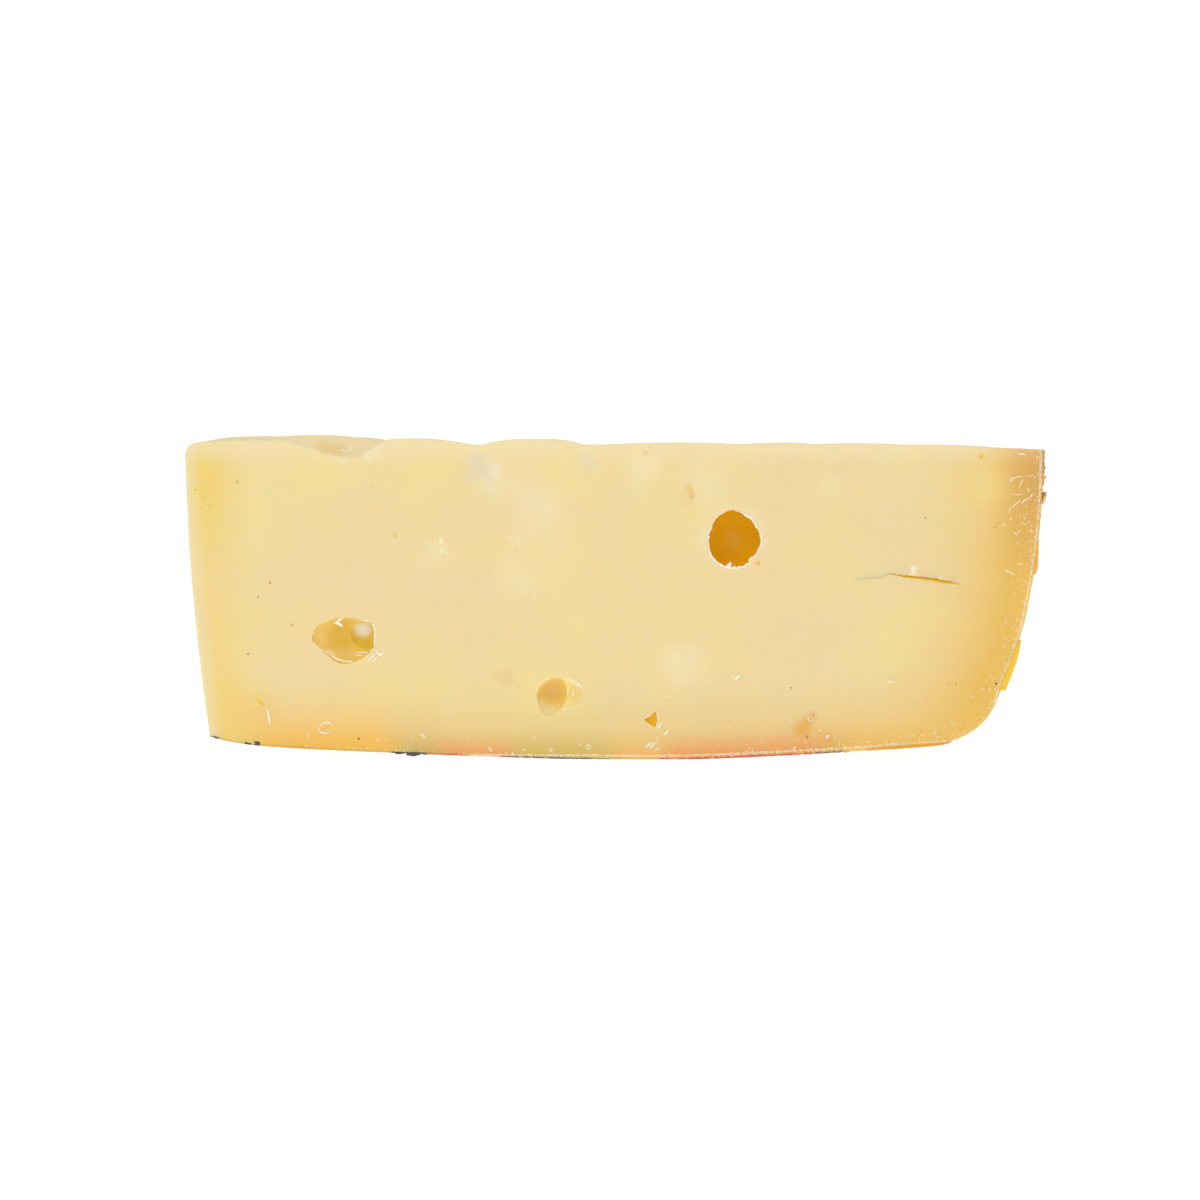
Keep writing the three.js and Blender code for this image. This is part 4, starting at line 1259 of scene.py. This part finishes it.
def inside_rind(section, index, share, depth, cut_angle):
    """A place on the plane of a cut, on from a point of the rind's section and some depth inside it."""
    here, ahead = Vector(section[index]), Vector(section[index + 1])
    inward = Vector((here.y - ahead.y, ahead.x - here.x)).normalized()
    r, z = here + share * (ahead - here) + inward * depth
    return Vector((r * math.cos(cut_angle), r * math.sin(cut_angle), z))


def rind_place(rng, section, cut_angle):
    """A place beside the rind, most often near its foot and close to it."""
    depth = min(9.0, rng.expovariate(1 / 1.6))
    index = rng.randrange(30 if rng.random() < 0.4 else len(section) - 75, len(section) - 3)
    return inside_rind(section, index, rng.random(), depth + 0.5, cut_angle)


def lay_on(whole, surface, crumb, place, facing, angle):
    """Lay a crumb flat on the cut that a place is on, or drop it where there is no cut."""
    hit, normal = surface.ray_cast(place + facing * 5, -facing, 8)[:2]
    if hit is not None and normal.dot(facing) > 0.7:
        lie = normal.to_track_quat("Z", "X").to_matrix() @ Matrix.Rotation(angle, 3, "Z")
        bmesh.ops.transform(crumb, matrix=Matrix.Translation(hit) @ lie.to_4x4(), verts=crumb.verts)
        add_shape(whole, crumb)
    else:
        crumb.free()


class CHEESE_OT_shreds(bpy.types.Operator):
    """Add what the knife tore: rims of eyes, shavings, scratches and crumbs beside the rind"""

    bl_idname = "cheese.shreds"
    bl_label = "Shreds and Crumbs"

    def execute(self, context):
        settings = context.scene.cheese_shreds
        rng = random.Random(settings.seed)
        paste = bmesh.new()
        paste.from_mesh(bpy.data.objects["wedge_paste"].data)
        to_wheel = Matrix.Scale(1 / MM, 4) @ Matrix.Translation(-LOW)
        bmesh.ops.transform(paste, matrix=to_wheel, verts=paste.verts)
        paste.normal_update()
        surface = BVHTree.FromBMesh(paste)
        piece = new_object("cut_shreds", torn_rims(paste, settings), [torn_paste()])
        whole = bmesh.new()
        whole.from_mesh(piece.data)
        for seed, (path, width, thick) in enumerate(SHREDS):
            add_shape(whole, shaving(path, width, thick, seed))
        front = Vector((0, -1, 0))
        for seed, (x0, z0, x1, z1, width) in enumerate(SCRATCHES):
            middle = Vector(((x0 + x1) / 2, 0, (z0 + z1) / 2))
            height = -surface.ray_cast(middle + front * 5, -front, 12)[0].y
            bend = 0.12 * rough((x0, z0, seed), 0.7) * math.hypot(x1 - x0, z1 - z0)
            path = ((x0, height, z0), (middle.x + bend, height + 0.05, middle.z - bend), (x1, height, z1))
            add_shape(whole, shaving(path, 0.8 * width, 0.09, seed, 1.8))
        for x, z, radius, count in CRUMB_RINGS:
            for step in range(count):
                angle = 2 * math.pi * step / count + rng.uniform(-0.3, 0.3)
                off = radius * rng.uniform(0.8, 1.2)
                place = Vector((x + off * math.cos(angle), 0, z + off * math.sin(angle)))
                crumb = grain((rng.uniform(0.3, 0.6), 0.22, 0.16), rng.random() * 50)
                lay_on(whole, surface, crumb, place, front, angle)
        section = rind_section(0, 1.2)
        behind = Matrix.Rotation(WEDGE_ANGLE, 3, "Z") @ Vector((0, 1, 0))
        for cut_angle, facing in ((0, front), (WEDGE_ANGLE, behind)):
            for _ in range(settings.crumbs):
                place = rind_place(rng, section, cut_angle)
                long = rng.uniform(0.25, 1.1) * (1.0 if rng.random() < 0.3 else 0.45)
                crumb = grain((long, rng.uniform(0.12, 0.28), rng.uniform(0.1, 0.2)), rng.random() * 50)
                lay_on(whole, surface, crumb, place, facing, rng.uniform(0, math.pi))
            # A dotted line of torn grains just inside the coating.
            for index in range(8, len(section) - 2):
                for share in (0.0, 0.35, 0.7):
                    if rng.random() < (0.4 if index > 60 else 0.8):
                        continue
                    place = inside_rind(section, index, share, rng.uniform(0.4, 0.75), cut_angle)
                    crumb = grain((rng.uniform(0.2, 0.45), rng.uniform(0.14, 0.24), 0.14), rng.random() * 50)
                    lay_on(whole, surface, crumb, place, facing, rng.uniform(0, math.pi))
        paste.free()
        finish_piece(piece, whole)
        return {"FINISHED"}


def add_shape(whole, bm):
    """Move a shape into the whole."""
    mesh = bpy.data.meshes.new("shape")
    bm.to_mesh(mesh)
    bm.free()
    whole.from_mesh(mesh)
    bpy.data.meshes.remove(mesh)


class CHEESE_OT_studio(bpy.types.Operator):
    """Add the plain floor, the soft lights and the camera"""

    bl_idname = "cheese.studio"
    bl_label = "Plain Studio"

    def execute(self, context):
        settings = context.scene.cheese_studio
        bm = bmesh.new()
        bmesh.ops.create_grid(bm, x_segments=4, y_segments=4, size=4)
        floor = new_object("floor", bm, [studio_floor(settings)])
        floor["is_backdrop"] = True
        self.light("front_soft_box", (-0.35, -1.15, 0.8), 0.9, settings.front, context)
        self.light("ceiling", (0, 0, 3.2), 7, settings.ceiling, context)
        # The room is white to the camera and a little dimmer to the piece, so that the soft boxes model it.
        world = bpy.data.worlds.new("white_room")
        world.use_nodes = True
        tree = world.node_tree
        seen = add(tree, "LightPath", output="Is Camera Ray")
        level = add(tree, "MapRange", (seen, 0, 1, settings.room))
        fill(tree, tree.nodes["Background"], {"Color": (1, 1, 1, 1), "Strength": level})
        context.scene.world = world
        context.scene.view_settings.view_transform = "Standard"
        data = bpy.data.cameras.new("camera")
        data.lens = settings.lens
        camera = bpy.data.objects.new("camera", data)
        distance = settings.wide * settings.lens / data.sensor_width
        camera.location = (LOW.x + AIM[0] * MM, LOW.y - distance, AIM[1] * MM)
        camera.rotation_euler = (math.pi / 2, 0, 0)
        context.scene.collection.objects.link(camera)
        context.scene.camera = camera
        return {"FINISHED"}

    def light(self, name, place, size, power, context):
        """A square soft light that looks at the piece."""
        data = bpy.data.lights.new(name, "AREA")
        data.size = size
        data.energy = power
        lamp = bpy.data.objects.new(name, data)
        lamp.location = place
        lamp.rotation_euler = (-Vector(place)).to_track_quat("-Z", "Y").to_euler()
        context.scene.collection.objects.link(lamp)


# Each piece's settings and the operator that adds it. The settings are in the scene under its name.
PARTS = (
    ("cheese_paste", PasteSettings, CHEESE_OT_paste),
    ("cheese_coating", CoatingSettings, CHEESE_OT_coating),
    ("cheese_shreds", ShredSettings, CHEESE_OT_shreds),
    ("cheese_studio", StudioSettings, CHEESE_OT_studio),
)


class CHEESE_PT_panel(bpy.types.Panel):
    """Sizes and colours of the wedge, with a button for each piece"""

    bl_idname = "CHEESE_PT_panel"
    bl_label = "Cheese Wedge"
    bl_space_type = "VIEW_3D"
    bl_region_type = "UI"
    bl_category = "Cheese"

    def draw(self, context):
        for name, _, operator in PARTS:
            settings = getattr(context.scene, name)
            box = self.layout.box()
            for key in settings.bl_rna.properties.keys():
                if key not in {"rna_type", "name"}:
                    box.prop(settings, key)
            box.operator(operator.bl_idname)


def register():
    for name, group, operator in PARTS:
        bpy.utils.register_class(group)
        bpy.utils.register_class(operator)
        setattr(bpy.types.Scene, name, bpy.props.PointerProperty(type=group))
    bpy.utils.register_class(CHEESE_PT_panel)


def unregister():
    bpy.utils.unregister_class(CHEESE_PT_panel)
    for name, group, operator in reversed(PARTS):
        delattr(bpy.types.Scene, name)
        bpy.utils.unregister_class(operator)
        bpy.utils.unregister_class(group)


def main():
    register()
    bpy.ops.cheese.paste()
    bpy.ops.cheese.coating()
    bpy.ops.cheese.shreds()
    bpy.ops.cheese.studio()
    box = [[list(corner) for corner in bounds] for bounds in (CAD_BOX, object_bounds())]


if __name__ == "__main__":
    main()
